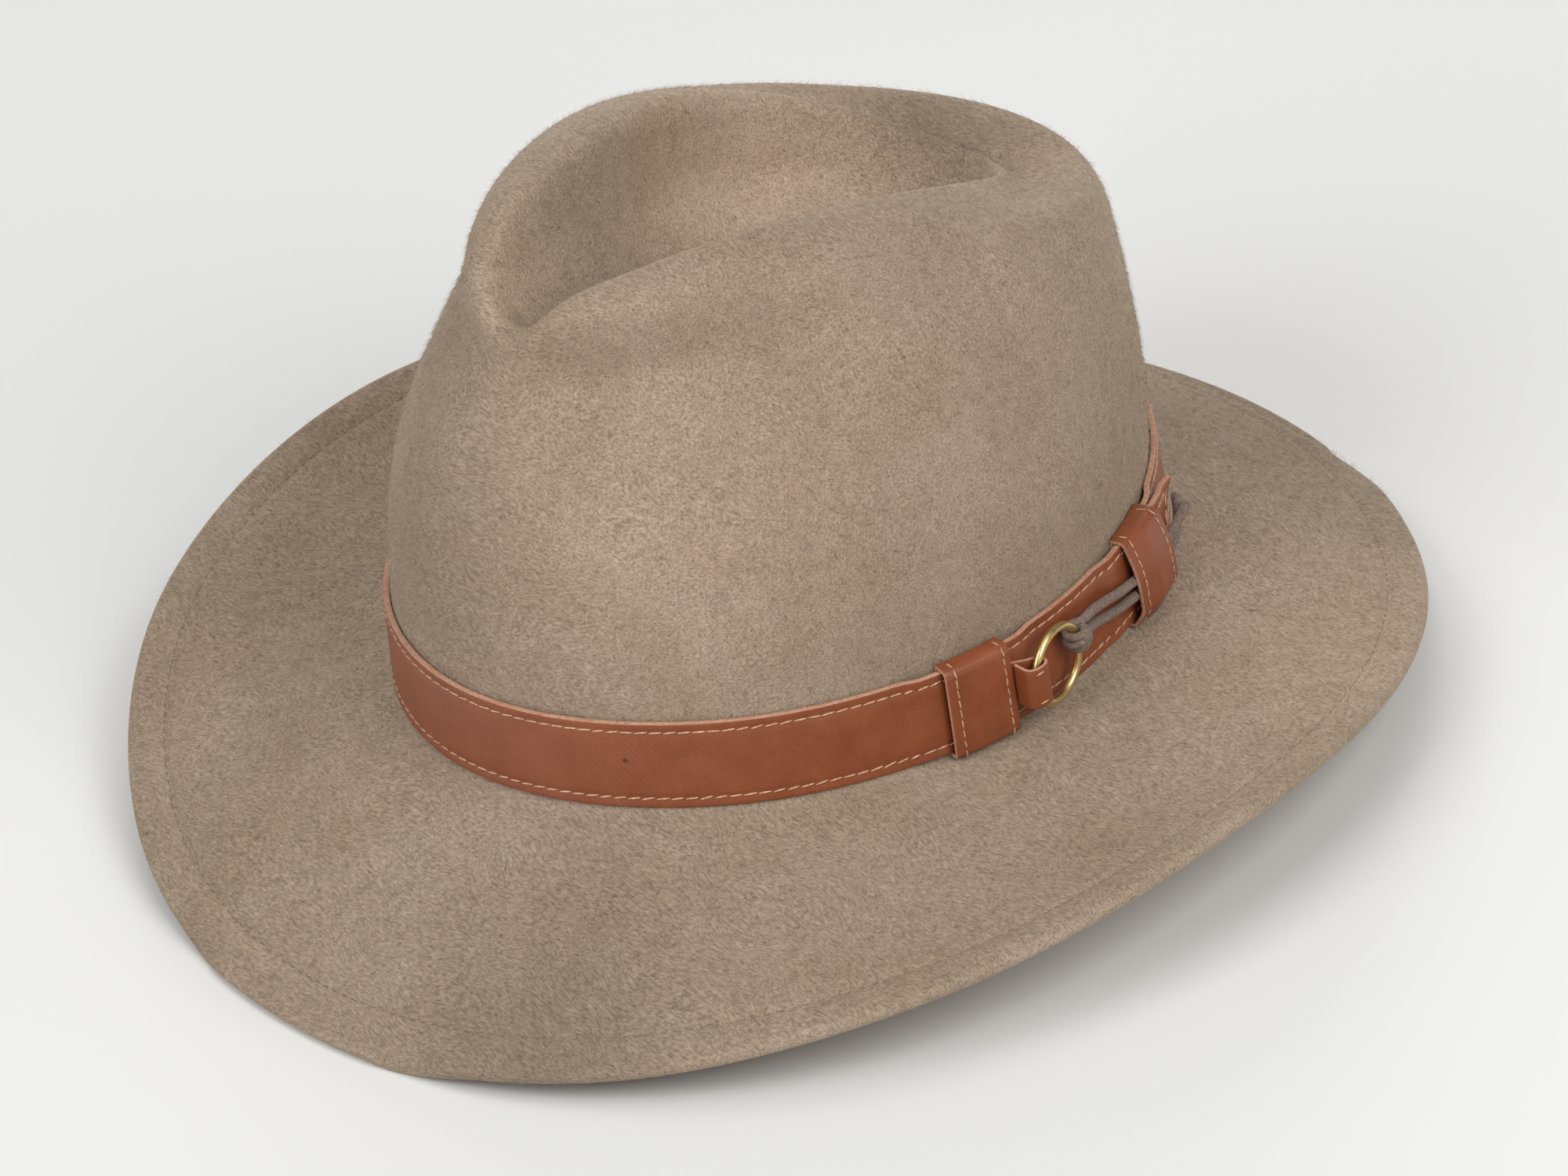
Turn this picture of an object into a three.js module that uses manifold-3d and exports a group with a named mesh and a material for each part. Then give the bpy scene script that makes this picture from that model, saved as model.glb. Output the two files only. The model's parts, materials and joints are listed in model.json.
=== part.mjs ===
// Outback hat: a felt crown and brim in one piece, a leather strap round the crown,
// two leather loops, a brass ring on a tab, and a waxed cord tied to the ring.
// Lengths are millimetres and angles degrees. The front of the hat looks along -Y,
// and the ring is on the wearer's left, along +X.
import * as THREE from 'three';
import { mergeVertices } from 'three/addons/utils/BufferGeometryUtils.js';
import Module from 'manifold-3d';

// Felt.
const HEAD_WIDTH = 170.8; // outside of the felt where the crown meets the brim
const HEAD_LENGTH = 208.2;
const CROWN_HEIGHT = 120; // from the brim to the side ridges
const BRIM_WIDTH = 75.7; // at the sides, measured level
const BRIM_LIFT = 30.3; // how far the sides of the brim stand above its front and back
const BRIM_CURL = 4; // how far the brim sags below a straight line from crown to edge
const SEAT_HEIGHT = 32.4; // from the resting plane to the foot of the crown, at the centre
const SEAT_WAVE = 2.5; // rise and fall of the foot of the crown round the head
const REST_TILT = 1.67; // the front of the crown stands higher than its back
const FELT = 2; // wall
const HEM_WIDTH = 11; // brim edge turned under and sewn
const HEM_THICKNESS = 3.4;
const EDGE_ROUND = 1; // how far in the rounding of the brim edge starts
const REST_STRIP = 2.6; // width of the strip of hem that lies flat on the table
const REST_PRESS = 2; // how much the felt gives where it rests
const REST_SINK = 1.13; // how far the hem would sink if the felt didn't give
const DENT_DEPTH = 9; // deepest finger dent beside the front of the crown
const PINCH_DEPTH = 7; // notch in the ridge where the crown is pinched, at its front

// Leather.
const STRAP_HEIGHT = 22.6;
const STRAP_LIFT = 1.5; // lower edge of the strap above the foot of the crown
const STRAP = 1.6; // thickness
const STRAP_RAMP = 6; // length over which the strap climbs over a loop
const LOOP = 0.9; // thickness of the leather of both loops and the tab
const SLEEVE_START = 125; // distances along the felt, from the middle of the front
const SLEEVE_WIDTH = 18.5;
const KEEPER_START = 191;
const KEEPER_WIDTH = 16.5;
const KEEPER_BULGE = { low: 0.18, high: 0.62 }; // shares of the strap's height
const STRAP_TIP = 14; // how far the strap runs past the keeper, at its upper corner
const TIP_CUT = 12.5; // how far back its slanting end is cut at the lower corner
const TIP_FLARE = 3; // how far the end stands off
const TAB_HEIGHT = 11;
const TAB_TAIL = 12; // length of the tab under the sleeve

// Ring and cord.
const RING_RADIUS = 9.6; // to the middle of the wire
const RING_WIRE = 2.2;
const RING_SWING = 10; // the side held by the tab stands off further
const RING_PLACE = 0.54; // height of its middle, as a share of the strap's height
const CORD = 2.5;
const KNOT_CORD = 2; // the cord drawn tight in the knot
const KNOT_ANGLE = 15; // place of the knot on the ring, above its rear side
const TURN_SPACING = 0.95; // between the knot's two turns, in thicknesses of its cord
const BIGHT = { radius: 0.62, length: 1.6 }; // of the loop across them, in the same unit

const GAP = 0.3; // between pieces that touch

// Number of steps.
const FELT_SIDES = 64;
const ROW_STEPS = 2; // rings of the crown between two rows of its table
const STRAP_STEP = 5.2;

function table(columns, rows) {
  return rows.map((row) => Object.fromEntries(columns.map((name, index) => [name, row[index]])));
}

// Rings of the crown from the top of the strap to the middle of the dent.
// height, rake and saddle are shares of the crown's height, front and back of half the
// head's length, side of half its width. egg narrows the front, rake raises it, and
// saddle raises both sides.
const CROWN_RINGS = table(
  ['height', 'front', 'back', 'side', 'egg', 'rake', 'saddle'],
  [
    [0.2, 0.989, 0.984, 0.989, 0, 0, 0],
    [0.384, 0.963, 0.986, 0.98, 0.01, -0.004, -0.003],
    [0.572, 0.917, 0.97, 0.936, 0.02, -0.011, -0.002],
    [0.73, 0.846, 0.948, 0.861, 0.04, -0.007, 0.008],
    [0.841, 0.753, 0.877, 0.758, 0.1, 0.046, 0.048],
    [0.92, 0.731, 0.756, 0.615, 0.18, 0.12, 0.077],
    [0.948, 0.733, 0.733, 0.432, 0.33, 0.122, 0.078],
    [0.86, 0.64, 0.7, 0.388, 0.4, 0.09, 0.06],
    [0.775, 0.53, 0.62, 0.342, 0.46, 0.085, 0.04],
    [0.715, 0.302, 0.34, 0.159, 0.3, 0.02, 0],
    [0.69, -0.023, 0.023, 0, 0, 0, 0],
  ],
);

// The brim every 30 degrees from the front to the back, the same on both sides.
// reach is a share of the brim's width, lift of its lift, curl of its curl, and seat
// of the wave at the foot of the crown.
const BRIM_STATIONS = table(
  ['reach', 'lift', 'curl', 'seat'],
  [
    [0.889, 0, -0.6, 0.76],
    [0.943, 0.247, -0.3, 0.64],
    [1.02, 0.756, 0.5, -0.32],
    [1, 1, 1, -1.24],
    [0.929, 0.647, 0.7, -0.74],
    [0.812, 0.195, 0, -0.11],
    [0.756, 0, -0.4, -0.09],
  ],
);
const STATION_STEP = 30;
const BRIM_ROWS = [0.08, 0.25, 0.45, 0.66]; // shares of the reach that get a row of points

// Finger dents. angle is counted from the wearer's left towards the back. Each dent
// widens upwards: low and high are its half widths round the crown. height and rise are
// shares of the crown's height, and depth is a share of the named depth.
const DENTS = table(
  ['angle', 'low', 'high', 'height', 'rise', 'depth'],
  [
    [-47, 20, 35, 0.76, 0.19, 1],
    [-133, 20, 35, 0.76, 0.19, 0.39],
  ],
);
const DENT_LOW = 0.55; // heights where a dent has its low and its high half width
const DENT_HIGH = 0.9;
const DENT_EDGE = 4; // a high power makes the rim of a dent crisp
const DENT_FADE = [3.8, 5.2]; // rings of the crown between which the dents end
const PINCH_BEGIN = [4.3, 5.6]; // and between which the notch at the front begins

// The notch at the front of the ridge: its place and its length are shares of half the
// head's length, and its width is a share of half its width.
const PINCH = { place: 0.72, length: 0.125, width: 0.105 };

// Routes of the two cord ends, from the knot to their free ends, each point as its
// distance along the felt, its distance out from it and its height over the brim.
const CORD_ROUTES = {
  cord_upper: [
    [168.3, 5.7, 18.3],
    [173.5, 4.9, 17.7],
    [178.5, 4.7, 16.6],
    [184, 4.8, 15.3],
    [189.5, 4.9, 14.1],
    [194, 5.5, 13.5],
    [199, 6.6, 13.2],
    [207.5, 6.7, 13.2],
    [213.5, 7.6, 14.2],
    [217.5, 8.6, 15.4],
    [221, 9.6, 16.4],
  ],
  cord_lower: [
    [168.7, 5.7, 14.9],
    [173.5, 4.9, 13.8],
    [178.5, 4.7, 12.3],
    [184, 4.8, 11],
    [189.5, 4.9, 9.9],
    [194, 5.5, 9.5],
    [199, 6.6, 9.3],
    [207.5, 6.7, 9.5],
    [214.5, 7.3, 11.2],
    [220, 7.2, 13.6],
    [225, 6.2, 16],
  ],
};
const CORD_SIDES = 8;
const CORD_STEPS = 20;

const { clamp, degToRad, lerp, smoothstep } = THREE.MathUtils;
const FULL_TURN = 2 * Math.PI;

// One set of values from a table, on a smooth curve through its rows.
function between(rows, position, mirrored) {
  const last = rows.length - 1;
  const start = Math.min(Math.floor(position), last - 1);
  const t = position - start;
  const row = (index) => rows[index < 0 ? -index : index > last ? 2 * last - index : index];
  const values = {};
  for (const name of Object.keys(rows[0])) {
    const [before, from, to, after] = [-1, 0, 1, 2].map((step) => {
      const index = start + step;
      const inside = index >= 0 && index <= last;
      return inside || mirrored ? row(index)[name] : extended(rows, index, name);
    });
    const bend = 2 * before - 5 * from + 4 * to - after;
    const twist = 3 * from - before - 3 * to + after;
    values[name] = from + (t * (to - before + t * (bend + t * twist))) / 2;
  }
  return values;
}

// A row past the end of a table, in line with the two rows at that end.
function extended(rows, index, name) {
  const last = rows.length - 1;
  const [end, next] = index < 0 ? [0, 1] : [last, last - 1];
  return 2 * rows[end][name] - rows[next][name];
}

function station(angle) {
  const fromFront = THREE.MathUtils.radToDeg(Math.asin(Math.sin(angle))) + 90;
  return between(BRIM_STATIONS, fromFront / STATION_STEP, true);
}

function seatHeight(angle) {
  return station(angle).seat * SEAT_WAVE;
}

// A point of the head's outline where the crown meets the brim, and its outward direction.
function headPoint(angle) {
  const halfWidth = HEAD_WIDTH / 2;
  const halfLength = HEAD_LENGTH / 2;
  const point = new THREE.Vector2(halfWidth * Math.cos(angle), halfLength * Math.sin(angle));
  const outward = new THREE.Vector2(Math.cos(angle) / halfWidth, Math.sin(angle) / halfLength);
  return { point, outward: outward.normalize() };
}

// The crown's outer surface on one ring of the table.
function crownPoint(position, angle) {
  const ring = between(CROWN_RINGS, position, false);
  const front = (-ring.front * HEAD_LENGTH) / 2;
  const back = (ring.back * HEAD_LENGTH) / 2;
  const side = (ring.side * HEAD_WIDTH) / 2;
  const sine = Math.sin(angle);
  const height = ring.height - ring.rake * sine + ring.saddle * Math.cos(2 * angle);
  const point = new THREE.Vector3(
    side * Math.cos(angle) * (1 + ring.egg * sine),
    (front + back) / 2 + ((back - front) / 2) * sine,
    CROWN_HEIGHT * height + seatHeight(angle) * Math.max(0, 1 - position / 2),
  );
  const { outward } = headPoint(angle);
  const dent = dentDepth(angle, ring.height, position);
  const notch = pinchDepth(point, position);
  return point.sub(new THREE.Vector3(outward.x * dent, outward.y * dent, notch));
}

// Depth of the finger dents at one place of the crown's side.
function dentDepth(angle, height, position) {
  const fade = 1 - smoothstep(position, ...DENT_FADE);
  const widening = clamp((height - DENT_LOW) / (DENT_HIGH - DENT_LOW), 0, 1);
  return DENTS.reduce((sum, dent) => {
    const turn = angle - degToRad(dent.angle);
    const round = Math.abs(Math.atan2(Math.sin(turn), Math.cos(turn)));
    const spread = degToRad(lerp(dent.low, dent.high, widening));
    const across = (round / spread) ** DENT_EDGE;
    const up = ((height - dent.height) / dent.rise) ** 2;
    return sum + fade * dent.depth * DENT_DEPTH * Math.exp(-across - up);
  }, 0);
}

// Depth of the notch at one place of the ridge.
function pinchDepth(point, position) {
  const across = point.x / ((PINCH.width * HEAD_WIDTH) / 2);
  const along = (point.y / (HEAD_LENGTH / 2) + PINCH.place) / PINCH.length;
  const begin = smoothstep(position, ...PINCH_BEGIN);
  return PINCH_DEPTH * begin * Math.exp(-(across ** 2) - along ** 2);
}

// The straight wall behind the strap: up is counted from the foot of the crown.
function wallPoint(angle, up) {
  const foot = headPoint(angle).point;
  const top = crownPoint(0, angle);
  const share = up / (CROWN_RINGS[0].height * CROWN_HEIGHT);
  return new THREE.Vector3(
    lerp(foot.x, top.x, share),
    lerp(foot.y, top.y, share),
    seatHeight(angle) + up,
  );
}

// Height of the resting plane in the hat's own frame.
function restPlane(y) {
  return -SEAT_HEIGHT + Math.tan(degToRad(REST_TILT)) * y;
}

// The brim's upper surface, out from the crown by a share of its reach.
function brimPoint(angle, share) {
  const { reach, lift, curl, seat } = station(angle);
  const { point, outward } = headPoint(angle);
  const edge = point.clone().addScaledVector(outward, reach * BRIM_WIDTH);
  const edgeHeight = restPlane(edge.y) + lift * BRIM_LIFT + HEM_THICKNESS - REST_SINK;
  const sag = 4 * share * (1 - share) * curl * BRIM_CURL;
  const place = point.clone().lerp(edge, share);
  return new THREE.Vector3(place.x, place.y, lerp(seat * SEAT_WAVE, edgeHeight, share) - sag);
}

// Felt gives way where it rests: what stands lower than the press lies on the plane.
function pressed(height) {
  return height < 2 * REST_PRESS ? Math.max(0, 2 * (height - REST_PRESS)) : height;
}

// A closed skin over a grid of points. Rows that don't close on themselves are capped.
function skin(grid, { closeRows = false } = {}) {
  const rowLength = grid[0].length;
  const positions = grid.flat().flatMap((point) => [point.x, point.y, point.z]);
  const index = [];
  const rowCount = closeRows ? grid.length : grid.length - 1;
  for (let row = 0; row < rowCount; row += 1) {
    for (let column = 0; column < rowLength; column += 1) {
      const here = row * rowLength;
      const there = ((row + 1) % grid.length) * rowLength;
      const next = (column + 1) % rowLength;
      index.push(here + column, here + next, there + next);
      index.push(here + column, there + next, there + column);
    }
  }
  if (!closeRows) {
    const end = (grid.length - 1) * rowLength;
    for (let column = 1; column < rowLength - 1; column += 1) {
      index.push(0, column + 1, column);
      index.push(end, end + column, end + column + 1);
    }
  }
  return outwardFacing(positions, index);
}

// Makes an indexed geometry whose faces look out, whichever way the grid was wound.
function outwardFacing(positions, index) {
  const geometry = new THREE.BufferGeometry();
  geometry.setAttribute('position', new THREE.Float32BufferAttribute(positions, 3));
  geometry.setIndex(Array.from(index));
  const merged = mergeVertices(geometry, 1e-4);
  const corners = merged.index.array;
  const point = (corner) => new THREE.Vector3().fromBufferAttribute(merged.attributes.position, corner);
  const kept = [];
  let volume = 0;
  for (let face = 0; face < corners.length; face += 3) {
    const [a, b, c] = corners.slice(face, face + 3);
    if (a === b || b === c || c === a) continue;
    kept.push([a, b, c]);
    volume += point(a).dot(point(b).cross(point(c)));
  }
  merged.setIndex(kept.flatMap(([a, b, c]) => (volume > 0 ? [a, b, c] : [a, c, b])));
  merged.computeVertexNormals();
  return merged;
}

// Unit normals of a grid of points whose rows close on themselves.
function gridNormals(grid) {
  return grid.map((row, i) => row.map((point, j) => {
    const above = grid[Math.max(i - 1, 0)][j];
    const below = grid[Math.min(i + 1, grid.length - 1)][j];
    const left = row[(j + row.length - 1) % row.length];
    const right = row[(j + 1) % row.length];
    const down = below.clone().sub(above);
    const round = right.clone().sub(left);
    if (round.length() < 1e-6) return new THREE.Vector3(0, 0, 1);
    return down.cross(round).normalize();
  }));
}

// The felt body: one wall from the middle of the dent, over the ridge, down the crown
// and out along the brim, with the edge of the brim turned under.
function feltBody() {
  const angles = Array.from({ length: FELT_SIDES }, (_, side) => (side * FULL_TURN) / FELT_SIDES);
  const upper = [];
  const thickness = [];
  const addRow = (row, wall) => {
    upper.push(row);
    thickness.push(wall);
  };
  for (let step = (CROWN_RINGS.length - 1) * ROW_STEPS; step >= 0; step -= 1) {
    addRow(angles.map((angle) => crownPoint(step / ROW_STEPS, angle)), FELT);
  }
  addRow(angles.map((angle) => wallPoint(angle, 0)), FELT);
  const hemStart = HEM_WIDTH + HEM_THICKNESS - FELT;
  const fromEdge = (distance) => (angle) => {
    return brimPoint(angle, 1 - distance / (station(angle).reach * BRIM_WIDTH));
  };
  for (const share of BRIM_ROWS) {
    addRow(angles.map((angle) => brimPoint(angle, share)), FELT);
  }
  addRow(angles.map(fromEdge(hemStart)), FELT);
  addRow(angles.map(fromEdge(HEM_WIDTH)), HEM_THICKNESS);
  addRow(angles.map(fromEdge(EDGE_ROUND + REST_STRIP)), HEM_THICKNESS);
  addRow(angles.map(fromEdge(EDGE_ROUND)), HEM_THICKNESS);
  const normals = gridNormals(upper);
  const lower = upper.map((row, i) => row.map((point, j) => (
    point.clone().addScaledVector(normals[i][j], -thickness[i])
  )));
  const edge = angles.map((angle, j) => {
    const last = upper.length - 1;
    const middle = brimPoint(angle, 1);
    middle.z = (upper[last][j].z + lower[last][j].z) / 2;
    return middle;
  });
  settle(upper, lower, edge);
  return skin([...upper, edge, ...lower.reverse()]);
}

// Lowers or raises the brim so that the underside of its hem never dips below the plane.
function settle(upper, lower, edge) {
  lower.forEach((row, i) => row.forEach((point, j) => {
    const height = point.z - restPlane(point.y);
    if (height > 2 * REST_PRESS) return;
    const change = pressed(height) - height;
    point.z += change;
    upper[i][j].z += change;
    if (i === lower.length - 1) edge[j].z += change;
  }));
}

// Distances along the felt run from the middle of the front towards the wearer's left.
const quarter = Math.PI / 2;
const headOval = new THREE.EllipseCurve(
  0, 0, HEAD_WIDTH / 2, HEAD_LENGTH / 2, -quarter, FULL_TURN - quarter,
);
headOval.arcLengthDivisions = 720;
const girth = headOval.getLength();

function angleAlong(distance) {
  const turns = Math.floor(distance / girth);
  const share = headOval.getUtoTmapping(0, distance - turns * girth);
  return (share + turns) * FULL_TURN - quarter;
}

// A point given by its distance along the felt, out from it and up from the brim.
function onBand(along, out, up) {
  const angle = angleAlong(along);
  const { outward } = headPoint(angle);
  const wall = wallPoint(angle, up);
  return new THREE.Vector3(wall.x + outward.x * out, wall.y + outward.y * out, wall.z);
}

// How far a loop's back pushes the strap away from the felt.
const sleeveEnd = SLEEVE_START + SLEEVE_WIDTH;
const keeperEnd = KEEPER_START + KEEPER_WIDTH;
function loopLift(along) {
  const within = (start, end) => {
    const rise = smoothstep(along, start - STRAP_STEP - STRAP_RAMP, start - STRAP_STEP);
    return rise * (1 - smoothstep(along, end + STRAP_STEP, end + STRAP_STEP + STRAP_RAMP));
  };
  const covered = within(SLEEVE_START, sleeveEnd) + within(KEEPER_START, keeperEnd);
  return covered * (LOOP + GAP);
}

const strapTurn = STRAP + GAP; // one layer of strap lying on another
const climbLength = KEEPER_WIDTH / 2; // the outer layer climbs onto the inner one's start
const strapStart = KEEPER_START + climbLength; // hidden in the keeper
const strapEnd = girth + keeperEnd + STRAP_TIP;

// How far the strap's outer end has climbed: along counts from the keeper's front edge.
function climbed(along) {
  return strapTurn * smoothstep(along, 0, climbLength);
}

// Distance from the felt to the strap's inner face. The strap's outer end runs a whole
// girth further than the start that it lies on.
function strapInside(travel) {
  const along = travel - girth * Math.floor(travel / girth);
  const flare = Math.max(0, (travel - girth - keeperEnd) / STRAP_TIP) ** 2;
  const climb = climbed(travel - girth - KEEPER_START);
  return GAP + loopLift(along) + climb + flare * TIP_FLARE;
}

// Evenly spaced distances from one place to another, both included.
function stretch(start, end) {
  const steps = Math.ceil((end - start) / STRAP_STEP);
  return Array.from({ length: steps + 1 }, (_, step) => lerp(start, end, step / steps));
}

function strap() {
  const top = STRAP_LIFT + STRAP_HEIGHT;
  const corner = (at, thickness, up) => onBand(at, strapInside(at) + thickness, up);
  const travels = [
    ...stretch(strapStart, girth + KEEPER_START),
    ...stretch(girth + KEEPER_START, girth + keeperEnd).slice(1),
    ...stretch(girth + keeperEnd, strapEnd).slice(1),
  ];
  return skin(travels.map((travel) => {
    const cutShare = clamp((travel - strapEnd + STRAP_TIP) / STRAP_TIP, 0, 1);
    const lowerTravel = travel - cutShare * TIP_CUT;
    return [
      corner(lowerTravel, 0, STRAP_LIFT),
      corner(lowerTravel, STRAP, STRAP_LIFT),
      corner(travel, STRAP, top),
      corner(travel, 0, top),
    ];
  }));
}

// Moves each point of a closed outline outwards, square to the sides that meet there.
function widened(outline, distance) {
  return outline.map((point, index) => {
    const before = outline[(index + outline.length - 1) % outline.length];
    const after = outline[(index + 1) % outline.length];
    const side = (from, to) => new THREE.Vector2(to.y - from.y, from.x - to.x).normalize();
    const first = side(before, point);
    const second = side(point, after);
    const middle = first.clone().add(second).normalize();
    return point.clone().addScaledVector(middle, distance / middle.dot(first));
  });
}

// A leather loop round the strap. Its inner outline at each place along it is given as
// distances out from the felt and up from the brim, anticlockwise from the lower back
// corner.
function leatherLoop(start, width, innerAt) {
  const places = stretch(start, start + width);
  const inners = places.map((along) => innerAt(along - start));
  const outers = inners.map((inner) => widened(inner, LOOP));
  const sections = inners[0].map((_, corner) => {
    const pointsOn = (outlines) => places.map((along, index) => {
      const point = outlines[index][corner];
      return onBand(along, point.x, point.y);
    });
    return [...pointsOn(inners), ...pointsOn(outers).reverse()];
  });
  return skin(sections, { closeRows: true });
}

const loopBack = GAP + LOOP; // inner face of a loop's back wall
const loopBottom = STRAP_LIFT - GAP;
const loopTop = STRAP_LIFT + STRAP_HEIGHT + GAP;
const strapFront = loopBack + GAP + STRAP; // the strap's outer face inside a loop
const tabBack = strapFront + GAP; // the tab's tail lies between strap and sleeve

function sleeveFront() {
  const front = tabBack + LOOP + GAP;
  return leatherLoop(SLEEVE_START, SLEEVE_WIDTH, () => [
    new THREE.Vector2(loopBack, loopBottom),
    new THREE.Vector2(front, loopBottom),
    new THREE.Vector2(front, loopTop),
    new THREE.Vector2(loopBack, loopTop),
  ]);
}

// The keeper is tight on the strap at its top and bulges over the two cords below. The
// strap inside it is one layer at its front edge and two at its rear edge.
function keeperRear() {
  const bulgeLow = STRAP_LIFT + KEEPER_BULGE.low * STRAP_HEIGHT;
  const bulgeHigh = STRAP_LIFT + KEEPER_BULGE.high * STRAP_HEIGHT;
  return leatherLoop(KEEPER_START, KEEPER_WIDTH, (along) => {
    const flat = strapFront + climbed(along) + GAP;
    const bulge = flat + CORD + 2 * GAP;
    return [
      new THREE.Vector2(loopBack, loopBottom),
      new THREE.Vector2(flat, loopBottom),
      new THREE.Vector2(bulge, bulgeLow),
      new THREE.Vector2(bulge, bulgeHigh),
      new THREE.Vector2(flat, loopTop),
      new THREE.Vector2(loopBack, loopTop),
    ];
  });
}

// The ring stands beside the sleeve, its near side inside the folded tab.
const wireRadius = RING_WIRE / 2;
const pocket = wireRadius + 1.5 * GAP; // inside of what goes round the wire
const tabStart = sleeveEnd + GAP;
const swing = degToRad(RING_SWING);
const ringAlong = tabStart + LOOP + pocket + RING_RADIUS * Math.cos(swing);
const ringUp = STRAP_LIFT + RING_PLACE * STRAP_HEIGHT;
const knotReach = pocket + KNOT_CORD; // from the wire's middle to the knot's outside
const ringOut = strapTurn + GAP + knotReach + RING_RADIUS * Math.sin(swing);

// How far the wire's middle is from the felt, at a distance along from the ring's middle:
// the ring is flat and the felt behind it curves away.
function wireOut(reach) {
  const bandRadius = girth / FULL_TURN;
  return ringOut + reach * Math.tan(swing) + reach ** 2 / (2 * bandRadius);
}

// The ring's own frame: X towards the back of the hat along the strap, Y up, Z outwards.
function ringFrame() {
  const { outward } = headPoint(angleAlong(ringAlong));
  const outwards = new THREE.Vector3(outward.x, outward.y, 0);
  const up = new THREE.Vector3(0, 0, 1);
  const along = up.clone().cross(outwards);
  const frame = new THREE.Matrix4().makeBasis(along, up, outwards);
  frame.multiply(new THREE.Matrix4().makeRotationY(swing));
  return frame.setPosition(onBand(ringAlong, ringOut, ringUp));
}

function ring() {
  const torus = new THREE.TorusGeometry(RING_RADIUS, wireRadius, 8, 36);
  torus.applyMatrix4(ringFrame());
  torus.deleteAttribute('normal');
  torus.deleteAttribute('uv');
  return outwardFacing(torus.attributes.position.array, torus.index.array);
}

// The tab: a strip that runs out from under the sleeve behind the ring's wire, folds
// round it inside the ring, and comes back over it to the sleeve.
function ringTab() {
  const inside = Math.sqrt(RING_RADIUS ** 2 - (TAB_HEIGHT / 2) ** 2) * Math.cos(swing);
  const slantedWire = (wireRadius * RING_RADIUS) / inside; // where the wire leaves the tab
  const foldAlong = ringAlong - inside + slantedWire - wireRadius;
  const foldOut = wireOut(inside);
  const tail = tabBack + LOOP / 2;
  const foldRadius = pocket + GAP + LOOP / 2; // the wire curves and the tab doesn't
  const line = [
    new THREE.Vector2(sleeveEnd - TAB_TAIL, tail),
    new THREE.Vector2(tabStart, tail),
  ];
  const foldSteps = 6;
  for (let step = 0; step <= foldSteps; step += 1) {
    const turn = (Math.PI * step) / foldSteps - quarter;
    line.push(new THREE.Vector2(
      foldAlong + foldRadius * Math.cos(turn),
      foldOut + foldRadius * Math.sin(turn),
    ));
  }
  line.push(new THREE.Vector2(tabStart + LOOP + foldRadius / 2, foldOut + foldRadius));
  line.push(new THREE.Vector2(tabStart + LOOP / 2, foldOut + foldRadius / 2));
  line.push(new THREE.Vector2(tabStart + LOOP / 2, tail + LOOP + GAP));
  return strip(line, LOOP, ringUp - TAB_HEIGHT / 2, ringUp + TAB_HEIGHT / 2);
}

// A strip of leather on edge: its line is drawn along and out, and it stands from one
// height to another.
function strip(line, thickness, bottom, top) {
  const sections = line.map((point, index) => {
    const before = line[Math.max(index - 1, 0)];
    const after = line[Math.min(index + 1, line.length - 1)];
    const ahead = after.clone().sub(point).normalize();
    const behind = point.clone().sub(before).normalize();
    const heading = ahead.clone().add(behind).normalize();
    const half = thickness / 2 / Math.max(heading.dot(index ? behind : ahead), 0.5);
    const aside = new THREE.Vector2(heading.y, -heading.x).multiplyScalar(half);
    return [
      onBand(point.x - aside.x, point.y - aside.y, bottom),
      onBand(point.x + aside.x, point.y + aside.y, bottom),
      onBand(point.x + aside.x, point.y + aside.y, top),
      onBand(point.x - aside.x, point.y - aside.y, top),
    ];
  });
  return skin(sections);
}

const wasm = await Module();
wasm.setup();

function toManifold(geometry) {
  const bare = geometry.clone();
  bare.deleteAttribute('normal');
  bare.deleteAttribute('uv');
  const merged = mergeVertices(bare, 1e-4);
  return new wasm.Manifold(new wasm.Mesh({
    numProp: 3,
    vertProperties: new Float32Array(merged.attributes.position.array),
    triVerts: new Uint32Array(merged.index.array),
  }));
}

function fromManifold(manifold) {
  const mesh = manifold.getMesh();
  return outwardFacing(mesh.vertProperties, mesh.triVerts);
}

// The knot: the cord passes round the ring's wire twice, joined by a bight across the
// front of the two turns.
function knot() {
  const turnRadius = pocket + KNOT_CORD / 2;
  const spread = (KNOT_CORD * TURN_SPACING) / RING_RADIUS / 2;
  const knotAngle = degToRad(KNOT_ANGLE);
  const turnPlace = (angle) => {
    const radial = new THREE.Vector3(Math.cos(angle), Math.sin(angle), 0);
    const wireway = new THREE.Vector3(-Math.sin(angle), Math.cos(angle), 0);
    const frame = new THREE.Matrix4().makeBasis(radial, new THREE.Vector3(0, 0, 1), wireway.negate());
    return frame.setPosition(radial.multiplyScalar(RING_RADIUS));
  };
  const turns = [-1, 1].map((side) => {
    const torus = new THREE.TorusGeometry(turnRadius, KNOT_CORD / 2, 8, 16);
    return toManifold(torus.applyMatrix4(turnPlace(knotAngle + side * spread)));
  });
  const outerSide = RING_RADIUS + turnRadius;
  const bight = new THREE.CapsuleGeometry(KNOT_CORD * BIGHT.radius, KNOT_CORD * BIGHT.length, 3, 10);
  bight.rotateZ(knotAngle);
  bight.translate(outerSide * Math.cos(knotAngle), outerSide * Math.sin(knotAngle), 0);
  const whole = turns[0].add(turns[1]).add(toManifold(bight));
  return fromManifold(whole).applyMatrix4(ringFrame());
}

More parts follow.
